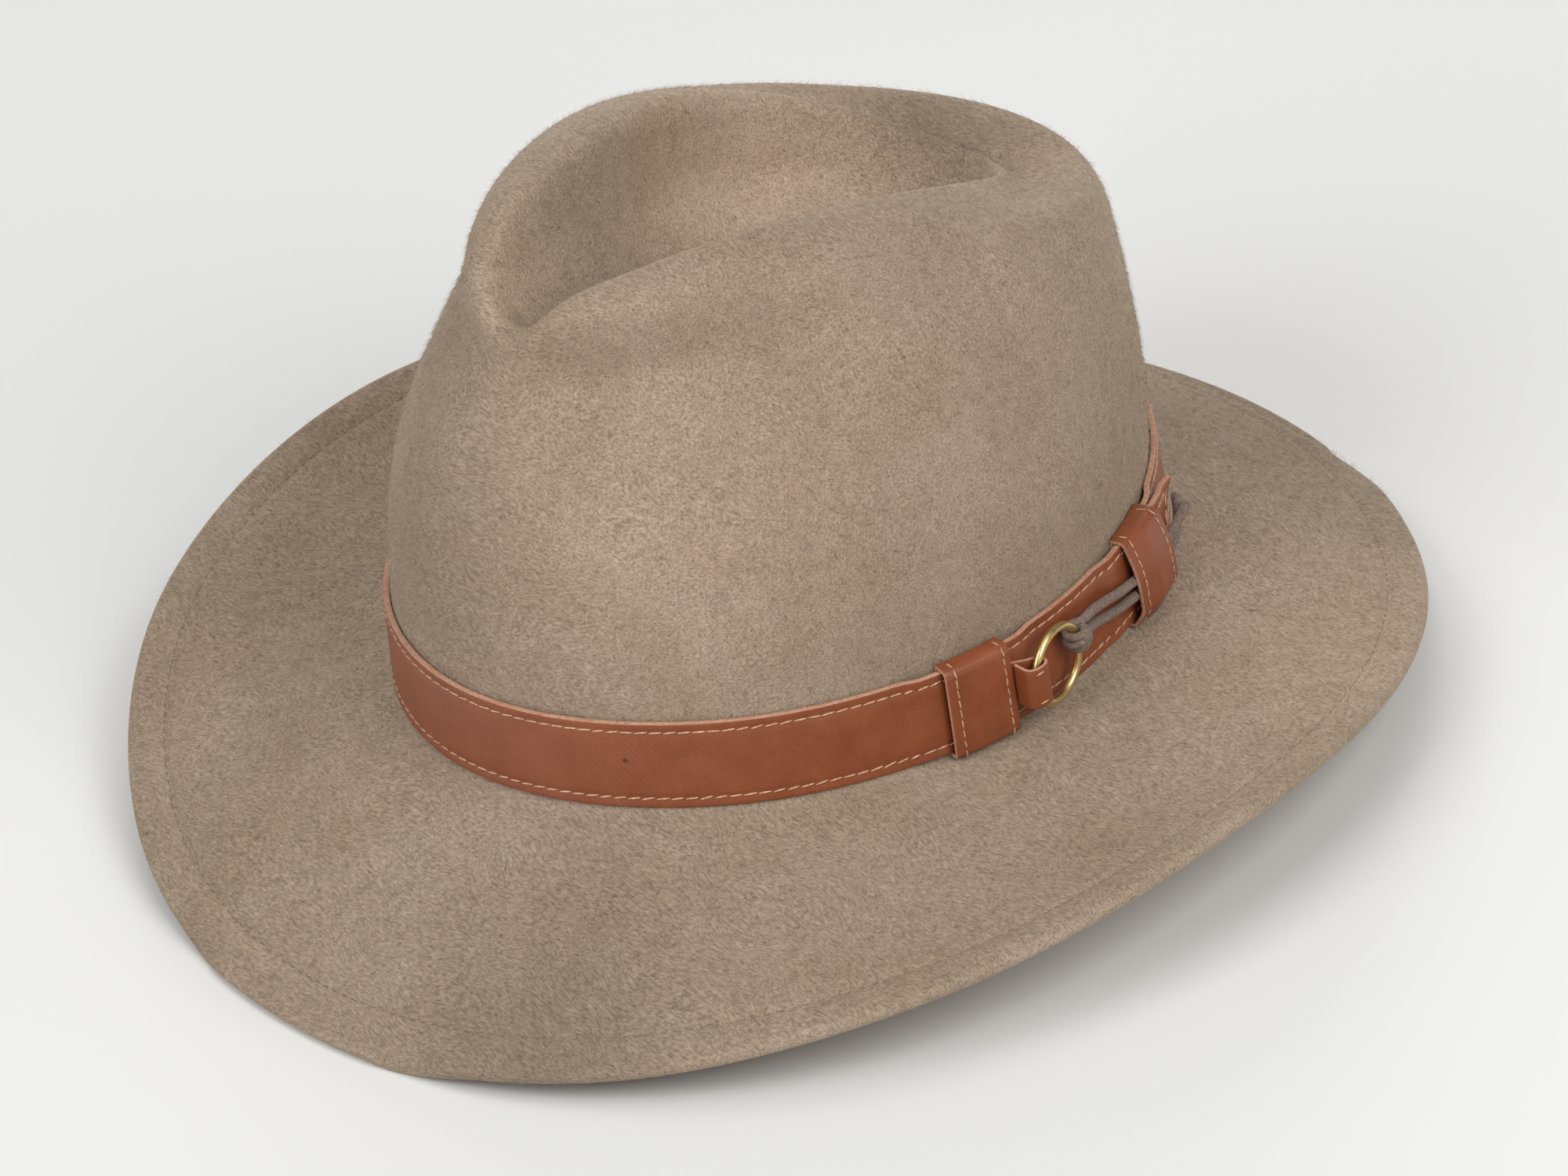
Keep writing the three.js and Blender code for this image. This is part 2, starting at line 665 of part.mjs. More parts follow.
function cord(route) {
  const points = route.map(([along, out, up]) => onBand(along, out, up));
  const section = new THREE.Shape();
  for (let side = 0; side < CORD_SIDES; side += 1) {
    const turn = (side * FULL_TURN) / CORD_SIDES;
    const corner = [(CORD / 2) * Math.cos(turn), (CORD / 2) * Math.sin(turn)];
    if (side === 0) section.moveTo(...corner);
    else section.lineTo(...corner);
  }
  section.closePath();
  return new THREE.ExtrudeGeometry(section, {
    steps: CORD_STEPS,
    extrudePath: new THREE.CatmullRomCurve3(points),
  });
}

const felt = { color: 0x968571, roughness: 0.95, metalness: 0 };
const leather = { color: 0x8c4e32, roughness: 0.5, metalness: 0 };
const brass = { color: 0xc9a250, roughness: 0.25, metalness: 1 };
const waxedCord = { color: 0x7a6b60, roughness: 0.7, metalness: 0 };

const hat = new THREE.Group();

function add(name, geometry, finish) {
  const mesh = new THREE.Mesh(geometry, new THREE.MeshStandardMaterial(finish));
  mesh.name = name;
  hat.add(mesh);
}

add('felt_body', feltBody(), felt);
add('band_strap', strap(), leather);
add('sleeve_front', sleeveFront(), leather);
add('keeper_rear', keeperRear(), leather);
add('ring_tab', ringTab(), leather);
add('brass_ring', ring(), brass);
add('cord_knot', knot(), waxedCord);
for (const [name, route] of Object.entries(CORD_ROUTES)) {
  add(name, cord(route), waxedCord);
}

// The hat rests on the front and back of its brim, centred over the origin.
hat.rotation.x = -degToRad(REST_TILT);
const box = new THREE.Box3().setFromObject(hat, true);
const centre = box.getCenter(new THREE.Vector3());
hat.position.set(-centre.x, -centre.y, -box.min.z);

export default hat;
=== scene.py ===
import json
import math

import bmesh
import bpy
import numpy as np
from mathutils import Matrix, Vector

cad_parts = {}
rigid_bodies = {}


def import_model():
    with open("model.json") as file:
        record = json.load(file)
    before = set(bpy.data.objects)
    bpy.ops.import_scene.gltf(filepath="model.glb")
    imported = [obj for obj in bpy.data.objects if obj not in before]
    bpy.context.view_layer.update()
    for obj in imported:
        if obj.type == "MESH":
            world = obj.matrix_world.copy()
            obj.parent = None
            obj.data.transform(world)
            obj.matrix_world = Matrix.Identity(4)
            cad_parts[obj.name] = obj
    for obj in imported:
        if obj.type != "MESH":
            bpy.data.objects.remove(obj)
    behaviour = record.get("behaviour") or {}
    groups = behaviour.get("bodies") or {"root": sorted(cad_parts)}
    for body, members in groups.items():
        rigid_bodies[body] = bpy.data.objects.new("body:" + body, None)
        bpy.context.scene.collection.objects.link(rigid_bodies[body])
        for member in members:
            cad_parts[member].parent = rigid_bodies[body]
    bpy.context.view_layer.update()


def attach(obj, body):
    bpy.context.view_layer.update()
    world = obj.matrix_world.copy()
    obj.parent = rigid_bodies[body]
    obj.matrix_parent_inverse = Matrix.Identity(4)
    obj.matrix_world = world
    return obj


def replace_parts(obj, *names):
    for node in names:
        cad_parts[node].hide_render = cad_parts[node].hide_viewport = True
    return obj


# Felt hat with a leather strap, two leather loops, a brass ring and a tied cord.
# Shapes are worked out in millimetres in the hat's own frame, then placed in metres.

bpy.ops.object.select_all(action="SELECT")
bpy.ops.object.delete()
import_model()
mm = 0.001
print("frame loaded")

# The hat's main sizes, as in the solid model.
hat = dict(
    headWidth=170.8, headLength=208.2,  # outside of the felt at the foot of the crown
    crownHeight=120, brimWidth=75.7, brimLift=30.3, brimCurl=4,
    seatHeight=32.4, seatWave=2.5,  # foot of the crown over the table, and its wave
    restTilt=1.67, centreY=5.938, centreZ=32.386,  # how the hat stands on its brim
    felt=2, hemWidth=11, hemThickness=3.4, restPress=2,
)

# height, front, back, side, egg, rake, saddle of each ring, from the strap's top over the
# rim to the floor of the crease, as shares of the hat's sizes; the crease has softer ends
# than the solid model
crownRings = [
    [0.2, 0.989, 0.984, 0.989, 0, 0, 0],
    [0.384, 0.963, 0.986, 0.98, 0.01, -0.004, -0.003],
    [0.572, 0.917, 0.97, 0.936, 0.02, -0.011, -0.002],
    [0.73, 0.846, 0.948, 0.861, 0.04, -0.007, 0.008],
    [0.841, 0.753, 0.877, 0.758, 0.1, 0.046, 0.048],
    [0.92, 0.731, 0.756, 0.615, 0.18, 0.12, 0.077],
    [0.948, 0.733, 0.733, 0.432, 0.33, 0.122, 0.078],
    [0.86, 0.6, 0.665, 0.388, 0.36, 0.09, 0.06],
    [0.775, 0.48, 0.56, 0.342, 0.4, 0.085, 0.04],
    [0.715, 0.28, 0.32, 0.159, 0.3, 0.02, 0],
    [0.69, -0.023, 0.023, 0, 0, 0, 0],
]
# reach, lift, curl, seat of the brim, every 30 degrees from the front to the back
brimStations = [
    [0.889, 0, -0.6, 0.76],
    [0.943, 0.247, -0.3, 0.64],
    [1.02, 0.756, 0.5, -0.32],
    [1, 1, 1, -1.24],
    [0.929, 0.647, 0.7, -0.74],
    [0.812, 0.195, 0, -0.11],
    [0.756, 0, -0.4, -0.09],
]


def rowsBetween(rows, position, mirrored):
    rows = np.array(rows, float)
    before, after = 2 * rows[0] - rows[1], 2 * rows[-1] - rows[-2]
    if mirrored:
        before, after = rows[1], rows[-2]
    rows = np.vstack([before, rows, after])
    start = np.clip(np.floor(position), 0, len(rows) - 4).astype(int)
    t = (position - start)[..., None]
    a, b, c, d = (rows[start + step] for step in range(4))
    return b + t * (c - a + t * (2 * a - 5 * b + 4 * c - d + t * (3 * b - a - 3 * c + d))) / 2


def smoothStep(value, low, high):
    t = np.clip((value - low) / (high - low), 0, 1)
    return t * t * (3 - 2 * t)


def brimStation(angle):
    fromFront = np.degrees(np.arcsin(np.clip(np.sin(angle), -1, 1))) + 90
    return np.moveaxis(rowsBetween(brimStations, fromFront / 30, True), -1, 0)


# The oval where the crown meets the brim, and its outward direction.
def headOval(angle):
    halfWidth, halfLength = hat["headWidth"] / 2, hat["headLength"] / 2
    point = np.stack([halfWidth * np.cos(angle), halfLength * np.sin(angle)], -1)
    outward = np.stack([np.cos(angle) / halfWidth, np.sin(angle) / halfLength], -1)
    return point, outward / np.linalg.norm(outward, axis=-1, keepdims=True)


# Finger dents beside the front of the crown: they are wide below the rim and narrow
# towards the strap. Each middle has its angle and depth, widths are half angles, heights
# are shares of the crown's height, and fade is between which of its rings they end.
fingerDents = dict(
    middles=((-47, 9), (-133, 3.5)), wide=35, wideHeight=0.9, narrow=20, narrowHeight=0.55,
    height=0.76, rise=0.19, edge=4, fade=(3.8, 5.2),
)
# The front end of the crease: a notch that lowers the rim and draws it back, each from
# some ring of the crown on, and a small pit on either side of its middle.
frontPinch = dict(
    y=-75, width=11, length=13, depth=8, inward=7, lowerFrom=(4.3, 5.6), inwardFrom=(4.5, 6.2),
    pitX=4.5, pitY=-69, pit=1.5, pitSize=6.5,
)


def dentDepth(angle, height, position):
    dent, depth = fingerDents, 0
    share = (height - dent["narrowHeight"]) / (dent["wideHeight"] - dent["narrowHeight"])
    spread = dent["narrow"] + (dent["wide"] - dent["narrow"]) * np.clip(share, 0, 1)
    for middle, deep in dent["middles"]:
        turn = angle - math.radians(middle)
        across = np.abs(np.degrees(np.arctan2(np.sin(turn), np.cos(turn)))) / spread
        depth = depth + deep * np.exp(-across ** dent["edge"])
    up = (height - dent["height"]) / dent["rise"]
    return depth * np.exp(-up ** 2) * (1 - smoothStep(position, *dent["fade"]))


# How far the front end of the crease lowers a point, and how far it draws it back.
def pinched(x, y, position):
    pinch = frontPinch
    notch = np.exp(-(x / pinch["width"]) ** 2 - ((y - pinch["y"]) / pinch["length"]) ** 2)
    pits = 0
    for side in (1, -1):
        pits = pits + np.exp(-((x - side * pinch["pitX"]) ** 2 + (y - pinch["pitY"]) ** 2)
                             / pinch["pitSize"] ** 2)
    lowered = pinch["depth"] * notch + pinch["pit"] * pits
    return (lowered * smoothStep(position, *pinch["lowerFrom"]),
            pinch["inward"] * notch * smoothStep(position, *pinch["inwardFrom"]))


def crownPoint(position, angle):
    ring = rowsBetween(crownRings, position, False)
    height, front, back, side, egg, rake, saddle = np.moveaxis(ring, -1, 0)
    sine, seat = np.sin(angle), brimStation(angle)[3] * hat["seatWave"]
    halfLength = hat["headLength"] / 2
    x = side * hat["headWidth"] / 2 * np.cos(angle) * (1 + egg * sine)
    y = halfLength * ((back - front) / 2 + (back + front) / 2 * sine)
    z = hat["crownHeight"] * (height - rake * sine + saddle * np.cos(2 * angle))
    z = z + seat * np.clip(1 - position / 2, 0, 1)
    outward = headOval(angle)[1]
    depth = dentDepth(angle, height, position)
    lowered, drawnBack = pinched(x, y, position)
    x, y = x - outward[..., 0] * depth, y - outward[..., 1] * depth + drawnBack
    return np.stack([x, y, z - lowered], -1)


# The straight wall behind the strap, up from the foot of the crown.
def wallPoint(angle, up):
    foot = headOval(angle)[0]
    top = crownPoint(np.zeros_like(angle), angle)[..., :2]
    share = (up / (crownRings[0][0] * hat["crownHeight"]))[..., None]
    seat = brimStation(angle)[3] * hat["seatWave"]
    return np.concatenate([foot + (top - foot) * share, (seat + up)[..., None]], -1)


def restPlane(y):
    return -hat["seatHeight"] + math.tan(math.radians(hat["restTilt"])) * y


# The brim's upper surface, at a share of the way from the crown to its edge.
def brimPoint(angle, share):
    reach, lift, curl, seat = brimStation(angle)
    point, outward = headOval(angle)
    edge = point + outward * (reach * hat["brimWidth"])[..., None]
    place = point + (edge - point) * share[..., None]
    # the hem would sink by a third of its thickness if the felt didn't give
    edgeHeight = restPlane(edge[..., 1]) + lift * hat["brimLift"] + hat["hemThickness"] * 2 / 3
    sag = 4 * share * (1 - share) * curl * hat["brimCurl"]
    footHeight = seat * hat["seatWave"]
    z = footHeight + (edgeHeight - footHeight) * share - sag
    return np.concatenate([place, z[..., None]], -1)


# From the hat's own frame in millimetres to the row frame in metres.
def toRow(points):
    tilt = math.radians(-hat["restTilt"])
    x, y, z = np.moveaxis(np.asarray(points, float), -1, 0)
    turnedY = math.cos(tilt) * y - math.sin(tilt) * z + hat["centreY"]
    turnedZ = math.sin(tilt) * y + math.cos(tilt) * z + hat["centreZ"]
    return np.stack([x, turnedY, turnedZ], -1) * mm


def lengthsAlong(line):
    return np.concatenate([[0], np.cumsum(np.linalg.norm(np.diff(line, axis=0), axis=1))])


# Distances round the head run from the middle of the front towards the wearer's left.
ovalAngles = np.linspace(-math.pi / 2, 1.5 * math.pi, 2881)
ovalLengths = lengthsAlong(headOval(ovalAngles)[0])
girth = ovalLengths[-1]


# The place at a distance round the head, out from the felt and up from the brim.
def onBand(along, out, up):
    along, out, up = np.broadcast_arrays(*(np.asarray(v, float) for v in (along, out, up)))
    angle = np.interp(along % girth, ovalLengths, ovalAngles)
    wall = wallPoint(angle, up)
    outward = headOval(angle)[1]
    wall[..., :2] += outward * out[..., None]
    return wall


# A smooth line through a few points, at evenly spaced parameters.
def smoothLine(points, count):
    position = np.linspace(0, len(points) - 1, count)
    return rowsBetween(points, position, False)


camera = bpy.data.objects.new("camera", bpy.data.cameras.new("camera"))
camera.matrix_world = Matrix((
    (0.6797, -0.3337, 0.6531, 1.2709),
    (0.7213, 0.4657, -0.5127, -0.9918),
    (-0.1330, 0.8196, 0.5572, 1.1167),
    (0, 0, 0, 1),
))
camera.data.sensor_width = 36
camera.data.lens = 178.67
camera.data.shift_x, camera.data.shift_y = 0.0004, -0.0015
bpy.context.collection.objects.link(camera)
bpy.context.scene.camera = camera


def hexColour(code):
    values = [int(code[i:i + 2], 16) / 255 for i in (1, 3, 5)]
    return (*(v / 12.92 if v <= 0.04045 else ((v + 0.055) / 1.055) ** 2.4 for v in values), 1)


def newMaterial(name):
    made = bpy.data.materials.new(name)
    made.use_nodes = True
    return made, made.node_tree, made.node_tree.nodes["Principled BSDF"]


# Adds a node: settings are its properties or its inputs' values, links its inputs' sources.
def addNode(tree, kind, settings, links):
    node = tree.nodes.new(kind)
    for name, value in settings.items():
        if isinstance(name, str) and hasattr(node, name):
            setattr(node, name, value)
        else:
            node.inputs[name].default_value = value
    for name, source in links.items():
        tree.links.new(source, node.inputs[name])
    return node


def objectPlace(tree):
    return addNode(tree, "ShaderNodeTexCoord", {}, {}).outputs["Object"]


# How many times a pattern repeats in a metre when one repeat is this many millimetres.
def perMetre(size):
    return 1000 / size


def noise(tree, place, size, output="Fac", **settings):
    settings = {"Scale": perMetre(size), **settings}
    return addNode(tree, "ShaderNodeTexNoise", settings, {"Vector": place}).outputs[output]


# Stretches what lies between two values of a source to run from 0 to 1, or between two
# other values.
def stretched(tree, source, low, high, newLow=0, newHigh=1):
    return addNode(tree, "ShaderNodeMapRange", {
        "From Min": low, "From Max": high, "To Min": newLow, "To Max": newHigh},
        {"Value": source}).outputs[0]


# Mixes two colours, each a hex code or a source, by a share that is a number or a source.
def mixed(tree, share, first, second, blend="MIX"):
    settings, links = {"data_type": "RGBA", "blend_type": blend}, {}
    # input 0 is the node's factor, 6 and 7 are its two colours
    for name, value in ((0, share), (6, first), (7, second)):
        if isinstance(value, bpy.types.NodeSocket):
            links[name] = value
        else:
            settings[name] = hexColour(value) if isinstance(value, str) else value
    return addNode(tree, "ShaderNodeMix", settings, links).outputs[2]


# Gives a shader its colour, its bump (heights, strength, depth in mm) and other values.
def dressed(tree, shader, colour, bump, values):
    tree.links.new(colour, shader.inputs["Base Color"])
    if bump:
        heights, strength, depth = bump
        raised = addNode(tree, "ShaderNodeBump", {
            "Strength": strength, "Distance": depth * mm}, {"Height": heights})
        tree.links.new(raised.outputs[0], shader.inputs["Normal"])
    for name, value in values.items():
        if isinstance(value, bpy.types.NodeSocket):
            tree.links.new(value, shader.inputs[name])
        else:
            shader.inputs[name].default_value = value


# How near a place is to a point given in millimetres: 0 past the reach, and the given
# amount at the point itself.
def nearness(tree, place, centre, reach, amount):
    away = addNode(tree, "ShaderNodeVectorMath", {
        "operation": "DISTANCE", 1: [c * mm for c in centre]}, {0: place})
    return addNode(tree, "ShaderNodeMapRange", {
        "interpolation_type": "SMOOTHSTEP", "From Min": reach * mm, "From Max": 0,
        "To Min": 0, "To Max": amount}, {"Value": away.outputs["Value"]}).outputs[0]


# Painted light and shade on the felt: patches whose colour is made paler for painted light,
# or darker for painted shade. The middle of each patch, how far it reaches, and the change in
# brightness.
paintedLightPatches = (
    ((-26, 36, 120), 56, 0.35), ((-12, 84, 124), 34, -0.3), ((45, -64, 103), 60, 0.1),
    ((-10, -51, 147), 34, 0.2), ((32, 141, 15), 80, -0.24), ((106, 78, 22), 70, 0.13),
    ((52, -122, 23), 80, -0.1), ((75, -148, 9), 50, -0.16),
)


# Wool felt, pressed and brushed: a dry matt cloth with a short nap that lies in
# changing directions, mottled, with a soft light rim where it turns away, and patches of painted
# light and shade.
def woolFelt():
    made, tree, shader = newMaterial("woolFelt")
    place = objectPlace(tree)
    mottle = noise(tree, place, 38, Detail=5, Roughness=0.62)
    blush = noise(tree, place, 55, noise_dimensions="4D", Detail=3, W=3)
    clumps = noise(tree, place, 3.4, Detail=3, Roughness=0.6)
    # the nap's direction wanders over a few centimetres
    wander = noise(tree, place, 26, output="Color", Detail=1)
    wandered = addNode(tree, "ShaderNodeVectorMath", {
        "operation": "MULTIPLY_ADD", 1: [12 * mm] * 3}, {0: wander, 2: place})
    lay = addNode(tree, "ShaderNodeMapping", {
        "Rotation": (0.5, 0.3, 0.6), "Scale": (0.28, 1, 1)}, {"Vector": wandered.outputs[0]})
    nap = noise(tree, lay.outputs[0], 0.5, Detail=3, Roughness=0.7)
    colour = mixed(tree, stretched(tree, mottle, 0.32, 0.68), "#96846f", "#a59381")
    colour = mixed(tree, stretched(tree, blush, 0.5, 0.75, newHigh=0.5), colour, "#a0867a")
    colour = mixed(tree, 0.42, colour, stretched(tree, nap, 0.3, 0.7), "OVERLAY")
    colour = mixed(tree, 0.26, colour, clumps, "SOFT_LIGHT")
    # painted light and shade: round each patch's middle the felt's colour is scaled up or down
    bright = None
    for centre, reach, amount in paintedLightPatches:
        patch = nearness(tree, place, centre, reach, amount)
        added = addNode(tree, "ShaderNodeMath", {"operation": "ADD", 0: 1}, {1: patch})
        if bright:
            tree.links.new(bright, added.inputs[0])
        bright = added.outputs[0]
    paintedLightColour = addNode(tree, "ShaderNodeVectorMath", {
        "operation": "SCALE"}, {0: colour, "Scale": bright})
    heights = addNode(tree, "ShaderNodeMath", {
        "operation": "MULTIPLY_ADD", 1: 1.6}, {0: clumps, 2: nap})
    dressed(tree, shader, paintedLightColour.outputs[0], (heights.outputs[0], 0.4, 0.25), {
        "Roughness": 0.97, "Specular IOR Level": 0.15, "Sheen Weight": 0.25,
        "Sheen Roughness": 0.5, "Sheen Tint": hexColour("#d8c8b4")})
    return made


# Single wool hairs that stand out of the nap, pale where they catch the light.
def woolHair():
    made, tree, shader = newMaterial("woolHair")
    strands = noise(tree, objectPlace(tree), 1.6, Detail=1)
    colour = mixed(tree, stretched(tree, strands, 0.35, 0.65), "#7d6d59", "#c4b49f")
    dressed(tree, shader, colour, None, {"Roughness": 0.8, "Specular IOR Level": 0.2})
    return made


# The strap has a small nick in front, and round that the faint print of a twill that
# was pressed against it: where, and over how many millimetres.
nick = dict(centre=(43.8, -84.5, 50.5), size=1.1, print=48, twill=1.2)


# Smooth cowhide, drum dyed and pressed: an even warm brown with a fine pore grain, a low
# satin gloss and slightly darker patches.
def saddleLeather():
    made, tree, shader = newMaterial("saddleLeather")
    place = objectPlace(tree)
    mottle = noise(tree, place, 9, Detail=5, Roughness=0.6)
    fine = noise(tree, place, 0.9, Detail=4)
    pores = addNode(tree, "ShaderNodeTexVoronoi", {
        "feature": "SMOOTH_F1", "Scale": perMetre(0.42), "Smoothness": 0.6}, {"Vector": place})
    colour = mixed(tree, stretched(tree, mottle, 0.3, 0.7), "#894728", "#985434")
    colour = mixed(tree, 0.22, colour, fine, "SOFT_LIGHT")
    # painted shade: the nick has no shape of its own, only a dark spot that stands for the shade
    # in its hollow
    colour = mixed(tree, nearness(tree, place, nick["centre"], nick["size"], 1), colour, "#3f1e12")
    heights = addNode(tree, "ShaderNodeMath", {
        "operation": "MULTIPLY_ADD", 1: 0.5}, {0: fine, 2: pores.outputs["Distance"]})
    # the phase of a diagonal wave is 10 * scale * (x + y + z)
    twill = addNode(tree, "ShaderNodeTexWave", {
        "bands_direction": "DIAGONAL",
        "Scale": 2 * math.pi / (10 * 3 ** 0.5 * nick["twill"] * mm)}, {"Vector": place})
    printed = addNode(tree, "ShaderNodeMath", {"operation": "MULTIPLY_ADD"}, {
        0: twill.outputs["Fac"], 1: nearness(tree, place, nick["centre"], nick["print"], 1.5),
        2: heights.outputs[0]})
    dressed(tree, shader, colour, (printed.outputs[0], 0.25, 0.12), {
        "Roughness": stretched(tree, mottle, 0.3, 0.7, 0.34, 0.46), "Specular IOR Level": 0.45,
        "Coat Weight": 0.12, "Coat Roughness": 0.4})
    return made


# The cut edge and flesh side of the same hide: undyed, pale, dry and fibrous.
def rawLeather():
    made, tree, shader = newMaterial("rawLeather")
    place = objectPlace(tree)
    fibres = noise(tree, place, 0.7, Detail=5, Roughness=0.7)
    patches = noise(tree, place, 7, Detail=3)
    colour = mixed(tree, stretched(tree, fibres, 0.35, 0.65), "#b58366", "#d9b097")
    colour = mixed(tree, stretched(tree, patches, 0.5, 0.75, newHigh=0.5), colour, "#a8694a")
    dressed(tree, shader, colour, (fibres, 0.5, 0.2), {
        "Roughness": 0.9, "Specular IOR Level": 0.2})
    return made


# Bonded sewing thread: two shades of one colour, the darker one painted shade where its plies
# turn, hardly glossy.
def sewingThread(name, dark, light):
    made, tree, shader = newMaterial(name)
    pliesAndPaintedShade = noise(tree, objectPlace(tree), 0.6, Detail=2)
    # painted shade: a fine noise mixes the darker colour into the lighter one
    colour = mixed(tree, stretched(tree, pliesAndPaintedShade, 0.35, 0.65), dark, light)
    dressed(tree, shader, colour, (pliesAndPaintedShade, 0.4, 0.1), {"Roughness": 0.75})
    return made


# Drawn and polished brass wire: warm yellow metal with faint rubbing marks.
def polishedBrass():
    made, tree, shader = newMaterial("polishedBrass")
    rubs = noise(tree, objectPlace(tree), 2.2, Detail=6, Roughness=0.7)
    dressed(tree, shader, mixed(tree, rubs, "#d3b071", "#ecd49c"), None, {
        "Roughness": stretched(tree, rubs, 0.35, 0.7, 0.26, 0.38), "Metallic": 1})
    return made


# Waxed cotton cord: grey brown, fuzzy, with paler flecks where the wax has whitened.
def waxedCotton():
    made, tree, shader = newMaterial("waxedCotton")
    flecks = noise(tree, objectPlace(tree), 0.55, Detail=4, Roughness=0.75)
    colour = mixed(tree, stretched(tree, flecks, 0.35, 0.68), "#5e4c41", "#a08c7e")
    dressed(tree, shader, colour, (flecks, 0.7, 0.3), {"Roughness": 0.72, "Sheen Weight": 0.1})
    return made


felt = woolFelt()
hair = woolHair()
leather = saddleLeather()
rawEdge = rawLeather()
creamThread = sewingThread("creamThread", "#b98f6f", "#e2c3a4")
feltThread = sewingThread("feltThread", "#716352", "#8a7b67")
brass = polishedBrass()
cordCotton = waxedCotton()
print("materials made")


# A bmesh sheet whose grid of vertices is laid on a grid of points.
def laidSheet(points):
    rows, columns = points.shape[:2]
    bm = bmesh.new()
    bmesh.ops.create_grid(bm, x_segments=columns - 1, y_segments=rows - 1, size=1)
    placed = toRow(points)
    for vert in bm.verts:
        column = round((vert.co.x + 1) / 2 * (columns - 1))
        row = round((vert.co.y + 1) / 2 * (rows - 1))
        vert.co = placed[row, column]
    bmesh.ops.remove_doubles(bm, verts=bm.verts, dist=1e-6)
    return bm


def finished(name, bm, materials, smooth=True):
    mesh = bpy.data.meshes.new(name)
    bm.to_mesh(mesh)
    bm.free()
    for made in materials:
        mesh.materials.append(made)
    if smooth:
        mesh.shade_smooth()
    piece = bpy.data.objects.new(name, mesh)
    bpy.context.collection.objects.link(piece)
    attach(piece, "root")
    return piece


hardCorner = math.radians(50)  # where a surface turns by more, it keeps an edge


# Replaces a piece's mesh by the one its modifiers make.
def modified(piece):
    bpy.context.view_layer.update()
    shown = piece.evaluated_get(bpy.context.evaluated_depsgraph_get())
    piece.data = bpy.data.meshes.new_from_object(shown)
    piece.modifiers.clear()
    piece.data.shade_smooth()
    piece.data.set_sharp_from_angle(angle=hardCorner)


# A round tube along a line, closed at both ends by a tip of a share of its radius.
def tube(name, line, radius, sides, made, endRound=0.5):
    line = np.asarray(line, float)
    heading = np.gradient(line, axis=0)
    heading /= np.linalg.norm(heading, axis=1, keepdims=True)
    aside = np.cross(heading[0], (0, 0, 1))
    rows = [np.repeat(line[:1] - heading[0] * radius * endRound, sides + 1, axis=0)]
    for point, ahead in zip(line, heading):
        aside = aside - ahead * aside.dot(ahead)
        aside /= np.linalg.norm(aside)
        other = np.cross(ahead, aside)
        turn = np.linspace(0, 2 * math.pi, sides + 1)[:, None]
        rows.append(point + radius * (np.cos(turn) * aside + np.sin(turn) * other))
    rows.append(np.repeat(line[-1:] + heading[-1] * radius * endRound, sides + 1, axis=0))
    bm = laidSheet(np.array(rows))
    bmesh.ops.recalc_face_normals(bm, faces=bm.faces)
    return finished(name, bm, [made])


# The two ends of the cord, each point as its distance along the felt, out and up.
cordEnds = dict(
    diameter=2.5, sides=16, steps=48, endRound=0.35,
    cord_upper=[
        [168.3, 5.7, 18.3], [173.5, 4.9, 17.7], [178.5, 4.7, 16.6], [184, 4.8, 15.3],
        [189.5, 4.9, 14.1], [194, 5.5, 13.5], [199, 6.6, 13.2], [207.5, 6.7, 13.2],
        [213.5, 7.6, 14.2], [217.5, 8.6, 15.4], [221, 9.6, 16.4],
    ],
    cord_lower=[
        [168.7, 5.7, 14.9], [173.5, 4.9, 13.8], [178.5, 4.7, 12.3], [184, 4.8, 11],
        [189.5, 4.9, 9.9], [194, 5.5, 9.5], [199, 6.6, 9.3], [207.5, 6.7, 9.5],
        [214.5, 7.3, 11.2], [220, 7.2, 13.6], [225, 6.2, 16],
    ],
)
for name in ("cord_upper", "cord_lower"):
    route = onBand(*np.array(cordEnds[name], float).T)
    line = smoothLine(route, cordEnds["steps"])
    piece = tube(name + "_soft", line, cordEnds["diameter"] / 2, cordEnds["sides"],
                 cordCotton, cordEnds["endRound"])
    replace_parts(piece, name)

# The felt: one wall from the crease over the crown and out along the brim, whose edge is
# turned under. Rows run along that wall, columns round the hat.
feltBody = dict(
    columns=320, crownRows=118, wallRows=8, brimRows=52, hemRows=14, roundRows=8,
    innerFirst=3, innerLast=16,  # between these the inner side has every second row only
    footRound=3,  # radius where the crown turns into the brim
    hemRunIn=2.6,  # how far inside the hem its finer rows begin
    seamOut=0.6, groove=0.7, grooveWidth=0.9,  # the seam lies just inside the hem's felt
    puff=0.45, puffFromEdge=5, puffWidth=3.2,  # and the felt outside it swells
)
angles = np.linspace(-math.pi / 2, 1.5 * math.pi, feltBody["columns"] + 1)
wallTop = crownRings[0][0] * hat["crownHeight"]
reachAll = brimStation(angles)[0] * hat["brimWidth"]

upper = []
for position in np.linspace(len(crownRings) - 1, 0, feltBody["crownRows"]):
    upper.append(crownPoint(np.full_like(angles, position), angles))
for up in np.linspace(wallTop, feltBody["footRound"], feltBody["wallRows"] + 1)[1:]:
    upper.append(wallPoint(angles, np.full_like(angles, up)))
footWall = wallPoint(angles, np.full_like(angles, feltBody["footRound"]))
footBrim = brimPoint(angles, feltBody["footRound"] / reachAll)
footCorner = wallPoint(angles, np.zeros_like(angles))
for t in (0.25, 0.5, 0.75, 1):
    upper.append((1 - t) ** 2 * footWall + 2 * t * (1 - t) * footCorner + t * t * footBrim)
hemInner = hat["hemWidth"] + feltBody["hemRunIn"]
for t in np.linspace(0, 1, feltBody["brimRows"] + 1)[1:]:
    upper.append(brimPoint(angles, (feltBody["footRound"] * (1 - t)
                                    + (reachAll - hemInner) * t) / reachAll))
edgeRadius = hat["hemThickness"] / 2
